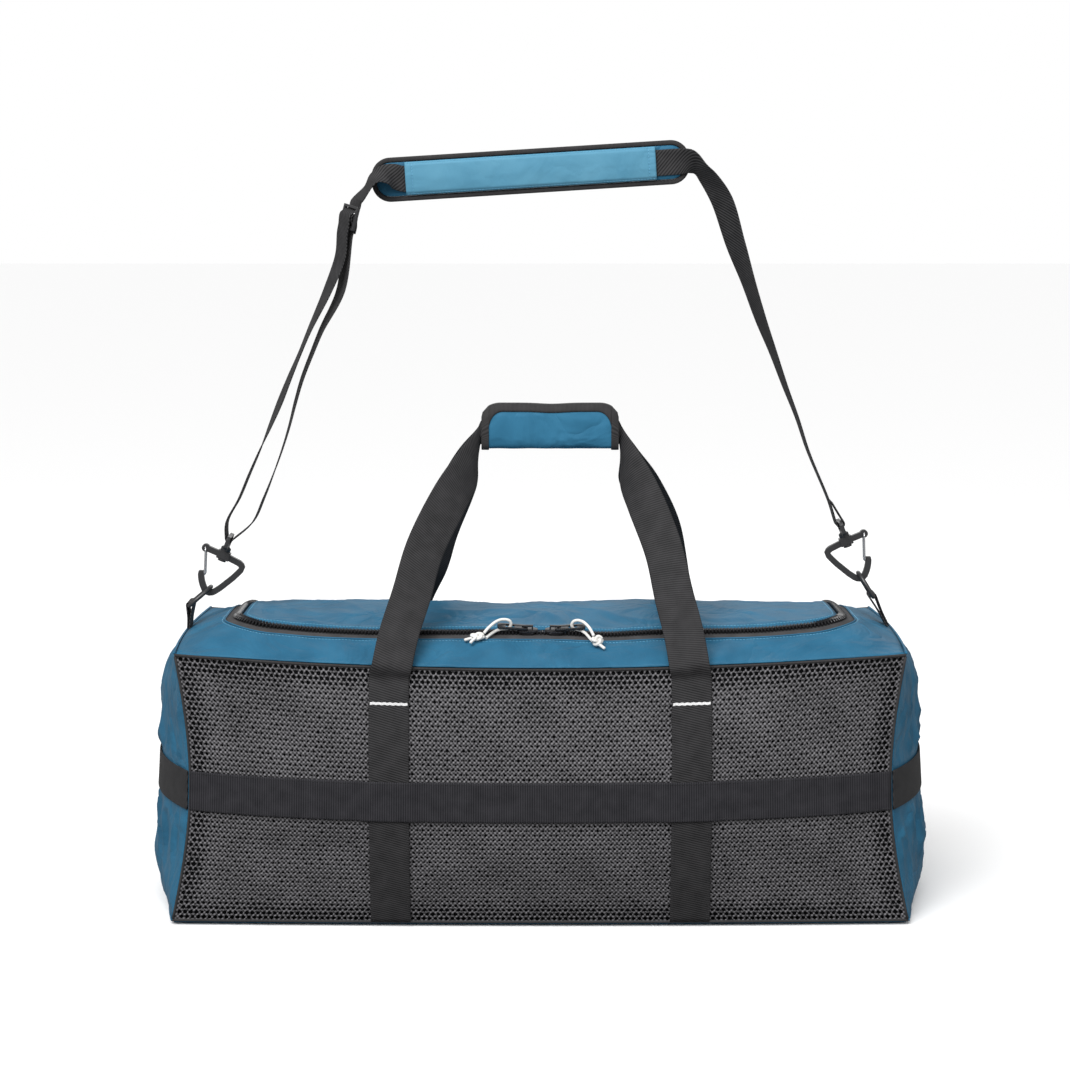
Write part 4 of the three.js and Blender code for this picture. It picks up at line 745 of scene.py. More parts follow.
def knittedPanel(side, name, node):
    columns = round(2 * meshLook["long"] / meshLook["pitch"])
    rows = round(meshLook["tall"] / meshLook["rows"])
    corners = {}
    points = []
    faces = []
    flats = []

    def place(a, b, lift):
        s = min(max(2 * a / columns - 1, -1), 1)
        v = min(max(b / rows, 0), 1)
        p = sidePoint(side, s, v)
        p.y -= side * lift
        return p, (s * body["topHalfLength"], v * meshLook["tall"])

    def corner(key, a, b):
        if key not in corners:
            corners[key] = len(points)
            p, flat = place(a, b, 0.0)
            points.append(p)
            flats.append(flat)
        return corners[key]

    turns = [(0, 2 / 3), (0.5, 1 / 3), (0.5, -1 / 3), (0, -2 / 3), (-0.5, -1 / 3), (-0.5, 1 / 3)]
    for row in range(rows + 1):
        for column in range(columns + 1):
            a = column + (0.5 if row % 2 else 0)
            b = row
            ring = [corner((round(2 * (a + da)), round(3 * (b + db))), a + da, b + db) for da, db in turns]
            toEdge = min(a, columns - a) * meshLook["pitch"], min(b, rows - b) * meshLook["rows"]
            if min(toEdge) < meshLook["hem"]:
                faces.append(tuple(ring))
                continue
            openness = math.exp(-(min(toEdge) / 24) ** 4)
            size = mix(meshLook["knit"], meshLook["hole"], openness)
            size *= 1 + (0.55 - 0.35 * openness) * noiseAt(a * 1.7, b * 1.7, 3.0 + side)
            front = range(len(points), len(points) + 6)
            back = range(len(points) + 6, len(points) + 12)
            for flare, deep in ((1, 0), (meshLook["flare"], meshLook["deep"])):
                for da, db in turns:
                    p, flat = place(a + da * size * flare, b + db * size * flare, deep + meshLook["yarn"])
                    points.append(p)
                    flats.append(flat)
            for k in range(6):
                n = (k + 1) % 6
                faces.append((ring[k], ring[n], front[n], front[k]))
                faces.append((front[k], front[n], back[n], back[k]))
    if side > 0:
        faces = [tuple(reversed(face)) for face in faces]
    # The yarn's light specks are painted highlights.
    return makePiece(name, points, faces, cloth["meshYarn"], (node,), uvs=flats)


# A narrow tape down the ends and along the top and base of the mesh, where its edge is sewn in.
def sidePanelHem(side, name):
    parts = []
    for a0, b0, a1, b1, count in ((-0.999, 0.996, 0.999, 0.996, 90), (-0.9985, 0.01, -0.9985, 0.99, 30),
                                  (0.9985, 0.01, 0.9985, 0.99, 30), (-0.999, 0.006, 0.999, 0.006, 90)):
        line = [sidePoint(side, mix(a0, a1, t), mix(b0, b1, t)) + vec(0, side * 0.5, 0)
                for t in steps(0, 1, count)]
        parts.append(tubeMesh(line, 1.5, 8))
    return makeJoined(name, parts, cloth["bindingTape"])


def endPanel(end, name, node):
    def crease(u, v, p):
        toBand = abs(v - body["bandShare"])
        ease = rise(0, 0.08, v) * rise(0, 0.08, 1 - v) * rise(0, 0.1, 1 - abs(u)) * rise(0.075, 0.12, toBand)
        pull = 2.2 + 3.2 * math.exp(-((toBand - 0.16) / 0.14) ** 2)
        pulled = creaseAt(p, (1.0, 1.5, 0.45), 38, pull, 50 * end)
        return float(ease) * (pulled + creaseAt(p, (1, 0.8, 1.3), 70, 1.6))

    wall = clothSheet(lambda w, v: endPoint(end, w, v), steps(-0.985, 0.985, 64), steps(0.0, 1.0, 64),
                      body["cloth"], vec(-end, 0, 0), crease)
    return makeWall(name, wall, cloth["blueNylon"], (node,))


def basePanel():
    inset = body["mesh"] + body["seamGap"]

    def lift(x, y):
        toSide = seamHalfDepth(x / body["baseHalfLength"]) - abs(y)
        reach = body["baseHalfLength"] + body["baseEndBow"] * (1 - (y / body["cornerHalfDepth"]) ** 2)
        toSeam = min(toSide, reach - abs(x), body["baseEdge"])
        return body["baseLift"] * (1 - toSeam / body["baseEdge"]) ** 2

    sections = []
    flats = []
    for u in steps(-1, 1, 120):
        outer = []
        inner = []
        row = []
        for w in steps(-1, 1, 60):
            x = u * (body["baseHalfLength"] - inset + body["baseEndBow"] * (1 - w * w))
            y = w * (seamHalfDepth(u) - inset)
            ripple = 0.25 * max(0.0, noise.noise(Vector((x, y, 0)) / 45)) * (1 - abs(w) ** 6)
            raised = float(lift(x, y)) + ripple
            outer.append(vec(x, y, raised))
            inner.append(vec(x, y, raised + body["cloth"]))
            row.append((x, y))
        sections.append((outer, inner))
        flats.append(row)
    return makeWall("baseCloth", wallMesh(sections, flats), cloth["blueNylon"], ("base_panel",))


# The piping that covers the seams of the end panels.
def seamPiping():
    parts = []
    for end in (-1, 1):
        top = [endPoint(end, w, 1) + vec(0, 0, 0.4) for w in steps(-0.99, 0.99, 30)]
        low = [endPoint(end, w, 0) + vec(0, 0, 1.4) for w in steps(-0.99, 0.99, 30)]
        for line in (top, low):
            parts.append(tubeMesh(line, 1.5, 8))
        for w in (-0.985, 0.985):
            parts.append(tubeMesh([endPoint(end, w, v) for v in steps(0.01, 0.99, 40)], 1.4, 8))
    return makeJoined("seamPiping", parts, cloth["blueNylon"], lambda p: (p.x + p.y, p.z))


# The mesh's inner face: a near-black sheet behind its holes, painted shade for the dark inside of the bag.
def shadeSheetBehindMesh(side, name):
    def deepPoint(s, v):
        return sidePoint(side, s, v) - vec(0, side * (meshLook["yarn"] + meshLook["deep"]), 0)

    wall = clothSheet(deepPoint, steps(-0.99, 0.99, 90), steps(0.01, 0.99, 34), 0.15, vec(0, -side, 0))
    return makeWall(name, wall, cloth["meshShade"])


knittedPanel(-1, "frontMesh", "front_mesh_panel")
knittedPanel(1, "backMesh", "back_mesh_panel")
shadeSheetBehindMesh(-1, "frontMeshShadeSheet")
shadeSheetBehindMesh(1, "backMeshShadeSheet")
sidePanelHem(-1, "frontMeshHem")
sidePanelHem(1, "backMeshHem")
endPanel(-1, "endClothLeft", "end_panel_left")
endPanel(1, "endClothRight", "end_panel_right")
basePanel()
seamPiping()
print("body made")


# The top: surround, lid and the U-shaped zip between them

zipLook = {
    "halfLength": 350, "front": 105, "back": 122, "corner": 46, "chain": 8, "chainHeight": 3.4, "tape": 10,
    "tapeThick": 1.0, "under": 2.6, "gap": 0.4, "pitch": 4.0, "toothLong": 1.9, "lidEdge": 7.2, "proud": 2.0,
    "stand": 2.2, "lean": 0.32, "sliders": (-13.5, 16),
}
tapeTop = (zipLook["tapeThick"] - body["cloth"]) / 2
tapeLow = tapeTop - zipLook["tapeThick"]
zipEdge = zipLook["chain"] / 2 + zipLook["tape"] + 2 * zipLook["gap"]


def zipPlan(out, frontSteps, cornerSteps, sideSteps):
    centreX = zipLook["halfLength"] - zipLook["corner"]
    centreY = zipLook["front"] - zipLook["corner"]
    radius = zipLook["corner"] + out
    left = [(-zipLook["halfLength"] - out, y)
            for y in steps(zipLook["back"] - zipLook["gap"], -centreY, sideSteps)]
    for angle in steps(0, math.pi / 2, cornerSteps)[1:]:
        left.append((-centreX - radius * math.cos(angle), -centreY - radius * math.sin(angle)))
    front = [(x, -zipLook["front"] - out) for x in steps(-centreX, centreX, frontSteps)[1:-1]]
    return left + front + [(-x, y) for x, y in reversed(left)]


zipFolds = [  # place along the front, slant, spread, depth
    (-118, 0.35, 7, 4.2), (262, -0.4, 9, 3.2),
]


def topCrease(x, y):
    p = Vector((x, y, 0))
    nearZip = math.exp(-((y + 132) / 26) ** 2) * (1 if abs(x) < 390 else 0.3)
    fine = creaseAt(p, (1.0, 0.35, 0), 34, 0.8 + 1.6 * nearZip)
    broad = creaseAt(p + Vector((900, 40, 0)), (0.9, 1.0, 0), 80, 2.2)
    beside = sum(deep * math.exp(-((x - at - slant * (y + 150)) / spread) ** 2)
                 for at, slant, spread, deep in zipFolds)
    return fine + broad - beside * math.exp(-((y + 148) / 22) ** 2)


# How far the lid's edge is lifted to lie over the inner tape.
def lidLift(x, y):
    beyondX = abs(x) - (zipLook["halfLength"] - zipLook["corner"])
    beyondY = -y - (zipLook["front"] - zipLook["corner"])
    if beyondX > 0 and beyondY > 0:
        toChain = zipLook["corner"] - math.hypot(beyondX, beyondY)
    else:
        toChain = min(zipLook["halfLength"] - abs(x), zipLook["front"] + y)
    return zipLook["proud"] * float(rise(zipEdge + 9, zipEdge + 1, toChain))


def topCloth(rows, edgeFade, name, node, loop=False):
    sections = []
    flats = []
    for i, row in enumerate(rows):
        outer = []
        inner = []
        for j, (x, y) in enumerate(row):
            ease = float(edgeFade(j / (len(row) - 1), i / len(rows)))
            lift = topCrease(x, y) * ease + (0 if loop else lidLift(x, y))
            outer.append(onTop(x, y, lift))
            inner.append(onTop(x, y, lift - body["cloth"]))
        sections.append((outer, inner))
        flats.append([(x, y) for x, y in row])
    return makeWall(name, wallMesh(sections, flats, loop=loop), cloth["blueNylon"], (node,))


def surroundRows(frontSteps, cornerSteps, sideSteps, across, backSteps):
    inset = body["mesh"] + body["seamGap"]
    centreX = zipLook["halfLength"] - zipLook["corner"]
    centreY = zipLook["front"] - zipLook["corner"]
    corner = body["cornerHalfDepth"] - inset

    def sideY(x):
        return float(seamHalfDepth(x / body["topHalfLength"])) - inset

    def endX(y):
        return body["topHalfLength"] + body["topEndBow"] * (1 - (y / body["cornerHalfDepth"]) ** 2) - inset

    near = zipPlan(zipEdge, frontSteps, cornerSteps, sideSteps)
    far = []
    for x, y in near:
        if y >= -centreY:
            far.append((math.copysign(endX(y), x), y))
        elif abs(x) <= centreX:
            far.append((x, -sideY(x)))
        else:
            share = math.atan2(-y - centreY, abs(x) - centreX) / (math.pi / 4)
            if share <= 1:
                along = mix(-centreY, -corner, share)
                far.append((math.copysign(endX(along), x), along))
            else:
                over = mix(endX(corner), centreX, share - 1)
                far.append((math.copysign(over, x), -sideY(over)))
    hinge = zipLook["back"] + zipLook["gap"]
    hingeEnd = zipLook["halfLength"] + zipEdge
    back = [(x, hinge) for x in steps(hingeEnd, -hingeEnd, backSteps)]
    backFar = [(endX(corner), corner)] + [(x, sideY(x)) for x, _ in back[1:-1]] + [(-endX(corner), corner)]
    inner = near + back
    outer = far + backFar
    return [[(mix(x, fx, t), mix(y, fy, t)) for t in steps(0, 1, across)]
            for (x, y), (fx, fy) in zip(inner, outer)]


def lidRows(count, across):
    halfX = zipLook["halfLength"] - zipLook["lidEdge"]
    front = zipLook["front"] - zipLook["lidEdge"]
    bend = zipLook["corner"] - zipLook["lidEdge"]
    rows = []
    for share in steps(0, 1, count):
        x = -halfX * math.cos(share * math.pi) if share in (0, 1) else mix(-halfX, halfX, share)
        beyond = max(0.0, abs(x) - (halfX - bend))
        frontY = -(front - bend + math.sqrt(max(0.0, bend * bend - beyond * beyond)))
        rows.append([(x, y) for y in steps(frontY, zipLook["back"] - zipLook["gap"], across)])
    return rows


def zipRibbon(innerOut, outerOut, name, node):
    near = zipPlan(innerOut, 150, 16, 40)
    far = zipPlan(outerOut, 150, 16, 40)
    sections = []
    flats = []
    run = 0.0
    for i, (a, b) in enumerate(zip(near, far)):
        if i:
            run += math.dist(near[i - 1], a)
        places = [(mix(a[0], b[0], t), mix(a[1], b[1], t)) for t in steps(0, 1, 3)]
        sections.append([[onTop(x, y, lift) for x, y in places] for lift in (tapeTop, tapeLow)])
        flats.append([(run, mix(innerOut, outerOut, t)) for t in steps(0, 1, 3)])
    return makeWall(name, wallMesh(sections, flats), cloth["zipTape"], (node,))


# A moulded tooth: a foot by its tape and a rounded head over the middle.
def toothMesh(frameAt, shift, stand):
    half = zipLook["toothLong"] / 2
    low = tapeLow + 0.3
    high = tapeLow + zipLook["chainHeight"] + stand
    outline = [(-5.2, 1.0), (-2.2, 0.7), (-0.4, 0.95), (1.0, 0.8), (1.7, 0.4)]
    rows = []
    for across, wide in outline:
        w = half * wide
        top = high - (1.1 if across < -3 else 0.5 if across > 1.5 else 0)
        top += zipLook["lean"] * across * shift * min(1.0, stand)
        ring = [(-w, low), (w, low), (w, top - 0.5), (w * 0.55, top), (-w * 0.55, top), (-w, top - 0.5)]
        rows.append([frameAt(a, across * shift, z) for a, z in ring])
    points = [p for row in rows for p in row]
    faces = [tuple(reversed(range(6))), tuple(range(24, 30))]
    for i in range(4):
        for k in range(6):
            n = (k + 1) % 6
            faces.append((i * 6 + k, i * 6 + n, (i + 1) * 6 + n, (i + 1) * 6 + k))
    return points, outward(points, faces)


def zipTeeth():
    line = zipPlan(0, 300, 40, 90)
    lengths = [0.0]
    for a, b in zip(line, line[1:]):
        lengths.append(lengths[-1] + math.dist(a, b))
    parts = []
    place = 1.5
    shift = 1
    while place < lengths[-1] - 1.5:
        i = min(max(int(np.searchsorted(lengths, place)) - 1, 0), len(line) - 2)
        share = (place - lengths[i]) / (lengths[i + 1] - lengths[i])
        x, y = mix(line[i][0], line[i + 1][0], share), mix(line[i][1], line[i + 1][1], share)
        along = unit(vec(line[i + 1][0] - line[i][0], line[i + 1][1] - line[i][1], 0))
        across = vec(-along.y, along.x, 0)
        normal = topNormal(x, y)
        seat = vec(x, y, topHeight(x, y))

        def frameAt(a, b, lift, seat=seat, along=along, across=across, normal=normal):
            return seat + along * a + across * b + normal * lift

        clear = min(abs(x - at) for at in zipLook["sliders"]) if y < -90 else 99
        parts.append(toothMesh(frameAt, shift, zipLook["stand"] * float(rise(12, 16, clear))))
        place += zipLook["pitch"] / 2
        shift = -shift
    points, faces = joinParts(parts)
    return makePiece("zipTeeth", points, faces, zipPlastic, ("zip_chain",), smooth=False)


# A panel's folded edge, as a rolled hem beside the zip.
def zipFold(out, lift, name):
    line = zipPlan(out, 150, 16, 40)
    path = [onTop(x, y, lift) for x, y in line]
    return makeJoined(name, [tubeMesh(path, 1.0, 8)], cloth["blueNylon"], lambda p: (p.x, p.y))


def topStitches():
    parts = []
    for out, lift in ((zipEdge + 3.2, 0.0), (-zipLook["lidEdge"] - 4, zipLook["proud"])):
        line = zipPlan(out, 150, 16, 40)
        path = [onTop(x, y, topCrease(x, y) * 0.35 + lift) for x, y in line]
        normals = [topNormal(x, y) for x, y in line]
        parts += stitchParts(path, normals, length=2.6, gap=1.2, thick=0.28, off=0.05)
    return makeJoined("topStitches", parts, cloth["blueThread"], lambda p: (p.x, p.y))


def surroundFade(across, _):
    return rise(0, 0.18, across) * rise(0, 0.14, 1 - across)


def lidFade(across, along):
    return rise(0, 0.06, across) * rise(0, 0.05, 1 - across) * rise(0, 0.04, along) * rise(0, 0.04, 1 - along)


topCloth(surroundRows(110, 12, 26, 12, 110), surroundFade, "surroundCloth", "top_surround", loop=True)
topCloth(lidRows(150, 46), lidFade, "lidCloth", "lid_panel")
zipTapeAt = zipLook["chain"] / 2 + zipLook["gap"]
zipRibbon(zipTapeAt - zipLook["under"], zipTapeAt + zipLook["tape"], "outerTape", "zip_tape_outer")
zipRibbon(-zipTapeAt - zipLook["tape"], -zipTapeAt + zipLook["under"], "innerTape", "zip_tape_inner")
zipTeeth()
zipFold(zipEdge + 0.2, 0.3, "surroundFold")
zipFold(-zipLook["lidEdge"], 0.75, "lidFold")
topStitches()
print("top and zip made")


# Webbing: a woven strip through stations. Each has its middle, the direction and size of its width, and its cup.

handleLook = {
    "width": 45, "thick": 2, "place": 169, "seam": 3, "standOff": 9, "clear": 0.8, "gripHeight": 553,
    "gripShift": 11.7, "gripLength": 160, "gap": 0.7, "backSway": {-1: 12, 1: 9}, "sewnTo": 250,
    "bars": 0.862,
}
bandLook = {"width": 45, "thick": 1.6, "ramp": 14, "layer": 0.5}
strapLook = {"width": 30, "thick": 1.6}
yAxis = Vector((0, 1, 0))
acrossStrip = [-1, -0.985, -0.93, -0.7, -0.35, 0, 0.35, 0.7, 0.93, 0.985, 1]
thickStrip = [0.35, 0.8, 1, 0.92, 0.92, 0.92, 0.92, 0.92, 1, 0.8, 0.35]


def station(middle, width, wide=None, twist=0.0, cup=0.0):
    return {"middle": Vector(middle), "wide": wide, "width": width, "twist": twist, "cup": cup}


def withWidths(rows):
    for i, row in enumerate(rows):
        if row["wide"] is None:
            along = unit(rows[min(i + 1, len(rows) - 1)]["middle"] - rows[max(i - 1, 0)]["middle"])
            twist = math.radians(row["twist"])
            side = unit(yAxis - along * yAxis.dot(along))
            row["wide"] = unit(yAxis.cross(along)) * math.cos(twist) + side * math.sin(twist)
    return rows


# Rows closer together on one smooth line, which keeps to the given rows however unevenly they are spaced.
def finer(rows, spacing):
    keys = ("middle", "wide", "width", "cup")
    before, after = [{key: rows[a][key] * 2 - rows[b][key] for key in keys} for a, b in ((0, 1), (-1, -2))]
    line = [before, *rows, after]
    knots = [0.0]
    for a, b in zip(line, line[1:]):
        knots.append(knots[-1] + max((b["middle"] - a["middle"]).length, 0.05) ** 0.5)
    found = []
    for i in range(1, len(line) - 2):
        count = max(1, round((line[i + 1]["middle"] - line[i]["middle"]).length / spacing))
        for k in range(count):
            t = mix(knots[i], knots[i + 1], k / count)
            found.append({key: throughFour([line[i + n][key] for n in (-1, 0, 1, 2)], knots[i - 1:i + 3], t)
                          for key in keys})
    found.append({key: rows[-1][key] for key in keys})
    return found


def throughFour(values, knots, t):
    def between(a, b, ta, tb):
        return a * ((tb - t) / (tb - ta)) + b * ((t - ta) / (tb - ta))

    a1 = between(values[0], values[1], knots[0], knots[1])
    a2 = between(values[1], values[2], knots[1], knots[2])
    a3 = between(values[2], values[3], knots[2], knots[3])
    b1 = between(a1, a2, knots[0], knots[2])
    b2 = between(a2, a3, knots[1], knots[3])
    return between(b1, b2, knots[1], knots[2])


def facing(rows, i):
    along = rows[min(i + 1, len(rows) - 1)]["middle"] - rows[max(i - 1, 0)]["middle"]
    return unit(along.cross(rows[i]["wide"]))


def stripMesh(rows, thick, sign=1, wave=0.0, seed=0.0):
    sections = []
    flats = []
    run = 0.0
    for i, row in enumerate(rows):
        if i:
            run += (row["middle"] - rows[i - 1]["middle"]).length
        face = facing(rows, i) * sign
        wide = unit(row["wide"])
        outer = []
        inner = []
        for share, full in zip(acrossStrip, thickStrip):
            lift = row["cup"] * (1 - abs(share) ** 1.5)
            if wave:
                lift += wave * noiseAt(run * 0.03, share * 0.7, seed)
            spot = row["middle"] + wide * (share * row["width"] / 2) + face * lift
            outer.append(spot + face * (full * thick / 2))
            inner.append(spot - face * (full * thick / 2))
        sections.append((outer, inner))
        flats.append([(run, share * row["width"] / 2) for share in acrossStrip])
    return wallMesh(sections, flats)


def strip(name, rows, thick, finish, nodes, sign=1, spacing=5.0, wave=0.0, seed=0.0):
    fine = finer(withWidths(rows), spacing)
    points, faces, flats = stripMesh(fine, thick, sign, wave, seed)
    makePiece(name, points, faces, finish, nodes, uvs=flats)
    return fine


# Stitch rows along a strip, at shares of its half width, over the stretch that is sewn down.
def stripStitches(rows, thick, sign, shares, keep=lambda p: True):
    parts = []
    for share in shares:
        line = []
        normals = []
        runs = []
        for i, row in enumerate(rows):
            face = facing(rows, i) * sign
            if keep(row["middle"]):
                line.append(row["middle"] + unit(row["wide"]) * (share * row["width"] / 2)
                            + face * (thick / 2 + row["cup"] * (1 - abs(share) ** 1.5)))
                normals.append(face)
            elif line:
                runs.append((line, normals))
                line = []
                normals = []
        if line:
            runs.append((line, normals))
        for line, normals in runs:
            if len(line) > 1:
                parts += stitchParts(line, normals, length=2.8, gap=1.6, thick=0.24, off=0.02)
    return parts


def offSide(side, x, v, off):
    s = float(x / halfLengthAt(v))
    step = 0.004
    along = unit(sidePoint(side, s + step, v) - sidePoint(side, s - step, v))
    up = unit(sidePoint(side, s, v + step) - sidePoint(side, s, v - step))
    normal = towards(unit(along.cross(up)), vec(0, side, 0))
    return sidePoint(side, s, v) + normal * off, along, up, normal


riserRows = [  # across, back, up, width, turn, cup
    (0.03, 0.00, 0.00, 1.00, 7, 0), (0.10, 0.11, 0.13, 1.00, 13, 0.3), (0.23, 0.31, 0.29, 1.00, 18, 0.6),
    (0.37, 0.48, 0.48, 1.00, 28, 1.0), (0.64, 0.70, 0.69, 1.00, 37, 1.5), (0.84, 0.88, 0.82, 0.92, 58, 2.5),
]
bunchRows = [  # beyond, drop, width, cup
    (3.5, 14, 0.62, 3), (1.2, 7.5, 0.6, 3), (-14, 3, 0.72, 1.5), (-35, 0.5, 0.84, 0),
]


def handleRows(side):
    off = handleLook["clear"] + handleLook["thick"] / 2
    inside = (handleLook["gap"] + handleLook["thick"]) / 2
    seam = handleLook["place"] / body["topHalfLength"]
    seamOut = float(seamHalfDepth(seam)) + handleLook["standOff"]
    rows = []
    for end in (-1, 1):
        finish = handleLook["gripShift"] + end * handleLook["gripLength"] / 2
        half = []
        for v in steps(handleLook["seam"] / body["topSeamHeight"], 1, 24)[:-1]:
            middle, along, _, _ = offSide(side, end * handleLook["place"], v, off)
            half.append(station(middle, handleLook["width"], along * -end))
        for across, back, up, width, turn, cup in riserRows:
            middle = vec(mix(end * handleLook["place"], finish, across), side * mix(seamOut, inside, back),
                         mix(float(topSeamZ(seam)), handleLook["gripHeight"], up))
            if side > 0:
                middle.x += handleLook["backSway"][end] * math.sin(math.pi * min(up / riserRows[-1][2], 1))
            half.append(station(middle, handleLook["width"] * width, turnedDown(end, turn), cup=cup))
        for beyond, drop, width, cup in bunchRows:
            middle = vec(finish + end * beyond, side * inside, handleLook["gripHeight"] - drop)
            half.append(station(middle, handleLook["width"] * width, turnedDown(end, 90), cup=cup))
        rows += half if end < 0 else half[::-1]
    return rows


def turnedDown(end, turn):
    return vec(-end * math.cos(math.radians(turn)), 0, -math.sin(math.radians(turn)))


def carryHandle(side, name, node):
    fine = strip(name, handleRows(side), handleLook["thick"], cloth["darkWebbing"], (node,), side,
                 spacing=4.0, wave=0.5, seed=4.0 + side)
    sewn = stripStitches(fine, handleLook["thick"] * 0.92, side, (-0.86, 0.86),
                         lambda p: p.z < handleLook["sewnTo"])
    makeJoined(f"{name}Seams", sewn, cloth["darkThread"])
    bars = []
    out = handleLook["clear"] + handleLook["thick"]
    half = handleLook["width"] / 2 - 1.5
    for end in (-1, 1):
        middle, along, up, normal = offSide(side, end * handleLook["place"], handleLook["bars"], 0)
        for row in (-1.0, 0.0, 1.0):
            line = [middle + along * t + up * (row + 0.3 * math.sin(t)) + normal * out
                    for t in steps(-half, half, 60)]
            wavy = [p + normal * (0.12 * math.sin(i * 2.6)) for i, p in enumerate(line)]
            bars.append(tubeMesh(wavy, 0.55, 6))
    makeJoined(f"{name}Bars", bars, cloth["paleThread"])


def bandAround(side, name, node):
    low = handleLook["clear"] + bandLook["thick"] / 2
    high = low + handleLook["thick"] + bandLook["layer"]
    end = float(halfLengthAt(body["bandShare"])) - body["seamGap"]
    near = handleLook["width"] / 2 + 1
    rows = []
    for x in steps(-end, end, 170):
        ease = float(rise(near + bandLook["ramp"], near, abs(abs(x) - handleLook["place"])))
        middle, _, up, _ = offSide(side, x, body["bandShare"], mix(low, high, ease))
        rows.append(station(middle, bandLook["width"], up))
    fine = strip(name, rows, bandLook["thick"], cloth["charcoalWebbing"], (node,), -side,
                 wave=0.35, seed=9.0 + side)
    sewn = stripStitches(fine, bandLook["thick"], -side, (-0.9, 0.9))
    makeJoined(f"{name}Seams", sewn, cloth["darkThread"])


def endBand(end, name, node):
    off = 2 * handleLook["clear"] + bandLook["thick"] / 2
    edge = 1 - 2 * body["seamGap"] / body["cornerHalfDepth"]
    rows = []
    for w in steps(-edge, edge, 60):
        along = endPoint(end, w + 0.01, body["bandShare"]) - endPoint(end, w - 0.01, body["bandShare"])
        up = unit(endPoint(end, w, body["bandShare"] + 0.01) - endPoint(end, w, body["bandShare"] - 0.01))
        normal = towards(unit(along.cross(up)), vec(end, 0, 0))
        rows.append(station(endPoint(end, w, body["bandShare"]) + normal * off, bandLook["width"], up))
    strip(name, rows, bandLook["thick"], cloth["darkWebbing"], (node,), -end, wave=0.3,
          seed=20.0 + end)


carryHandle(-1, "frontHandle", "handle_webbing_front")
carryHandle(1, "backHandle", "handle_webbing_back")
bandAround(-1, "frontBand", "band_front")
bandAround(1, "backBand", "band_back")
endBand(-1, "endBandLeft", "band_end_left")
endBand(1, "endBandRight", "band_end_right")
print("webbing made")


# Hooks, D-rings and their tabs. A hook's own directions are out, towards the bag's end, and up, to the strap.

hookLook = {
    "eyeMiddle": 20.6, "eyeBar": 4.5, "crown": (1, -43.4), "ringWire": 5, "ringReach": 31, "seat": 0.4,
    "wire": 2.2, "gateSide": 5.1, "gateFoot": (22.5, -1.5), "gateTip": (12.9, -31),
}
ends = {
    "left": {"end": -1, "seat": (-372, 403), "hookLean": 21, "ringLean": 50, "root": -414},
    "right": {"end": 1, "seat": (359.5, 420), "hookLean": 20.3, "ringLean": 31.6, "root": 410},
}


def hookAt(facts, out, up, deep=0.0):
    lean = math.radians(facts["hookLean"])
    outward = vec(facts["end"] * math.cos(lean), 0, math.sin(lean))
    upward = vec(-facts["end"] * math.sin(lean), 0, math.cos(lean))
    return vec(facts["seat"][0], deep, facts["seat"][1]) + outward * out + upward * up


def hookDirections(facts):
    seat = hookAt(facts, 0, 0)
    return hookAt(facts, 1, 0) - seat, hookAt(facts, 0, 1) - seat


def ringBar(facts):
    lean = math.radians(facts["ringLean"])
    reach = vec(-facts["end"] * math.sin(lean), 0, math.cos(lean))
    return hookAt(facts, *hookLook["crown"]) - reach * hookLook["ringReach"], reach


def roundBar(centre, out, up, radius, start, stop, count, twist=90):
    rows = []
    for angle in steps(math.radians(start), math.radians(stop), count):
        middle = centre + out * (radius * math.cos(angle)) + up * (radius * math.sin(angle))
        rows.append(station(middle, strapLook["width"], twist=twist))
    return rows


def closedThrough(points, per):
    spots = [Vector(p) for p in points]
    count = len(spots)
    return [catmull(spots[i - 1], spots[i], spots[(i + 1) % count], spots[(i + 2) % count], k / per)
            for i in range(count) for k in range(per)]


def bentRing(side, facts):
    bar, reach = ringBar(facts)
    straight = strapLook["width"] / 2 + 0.5
    half = straight + 3.4
    outline = [(-straight, 0), (-straight / 2, 0), (0, 0), (straight / 2, 0), (straight, 0), (half - 0.5, 1.8)]
    for angle in steps(0, math.pi, 12):
        outline.append((half * math.cos(angle), 8 + (hookLook["ringReach"] - 8) * math.sin(angle)))
    outline.append((-half + 0.5, 1.8))
    path = closedThrough([bar + reach * d + vec(0, y, 0) for y, d in outline], 5)
    points, faces = tubeMesh(path, hookLook["ringWire"] / 2, 14, loop=True)
    return makePiece(f"dRing_{side}", points, faces, hookPlastic, (f"d_ring_{side}",),
                     uvs=[(p.y, p.z) for p in points])


def gateWire(side, facts):
    s = hookLook["gateSide"]

    def at(share, deep):
        out, up = [mix(foot, tip, share) for foot, tip in zip(hookLook["gateFoot"], hookLook["gateTip"])]
        return hookAt(facts, out, up, deep)

    line = curveThrough([
        at(0, 0.6), at(0, s - 0.8), at(0.03, s), at(0.1, s), at(0.9, s), at(0.97, s - 0.3), at(1, s - 1.4),
        at(1, 0), at(1, -s + 1.4), at(0.97, -s + 0.3), at(0.9, -s), at(0.1, -s), at(0.03, -s),
        at(0, -s + 0.8), at(0, -0.6),
    ], 4)
    points, faces = tubeMesh(line, hookLook["wire"] / 2, 10)
    return makePiece(f"gateWire_{side}", points, faces, brightWire, (f"hook_gate_{side}",),
                     body=f"gate_{side}", uvs=[(p.y, p.z) for p in points])


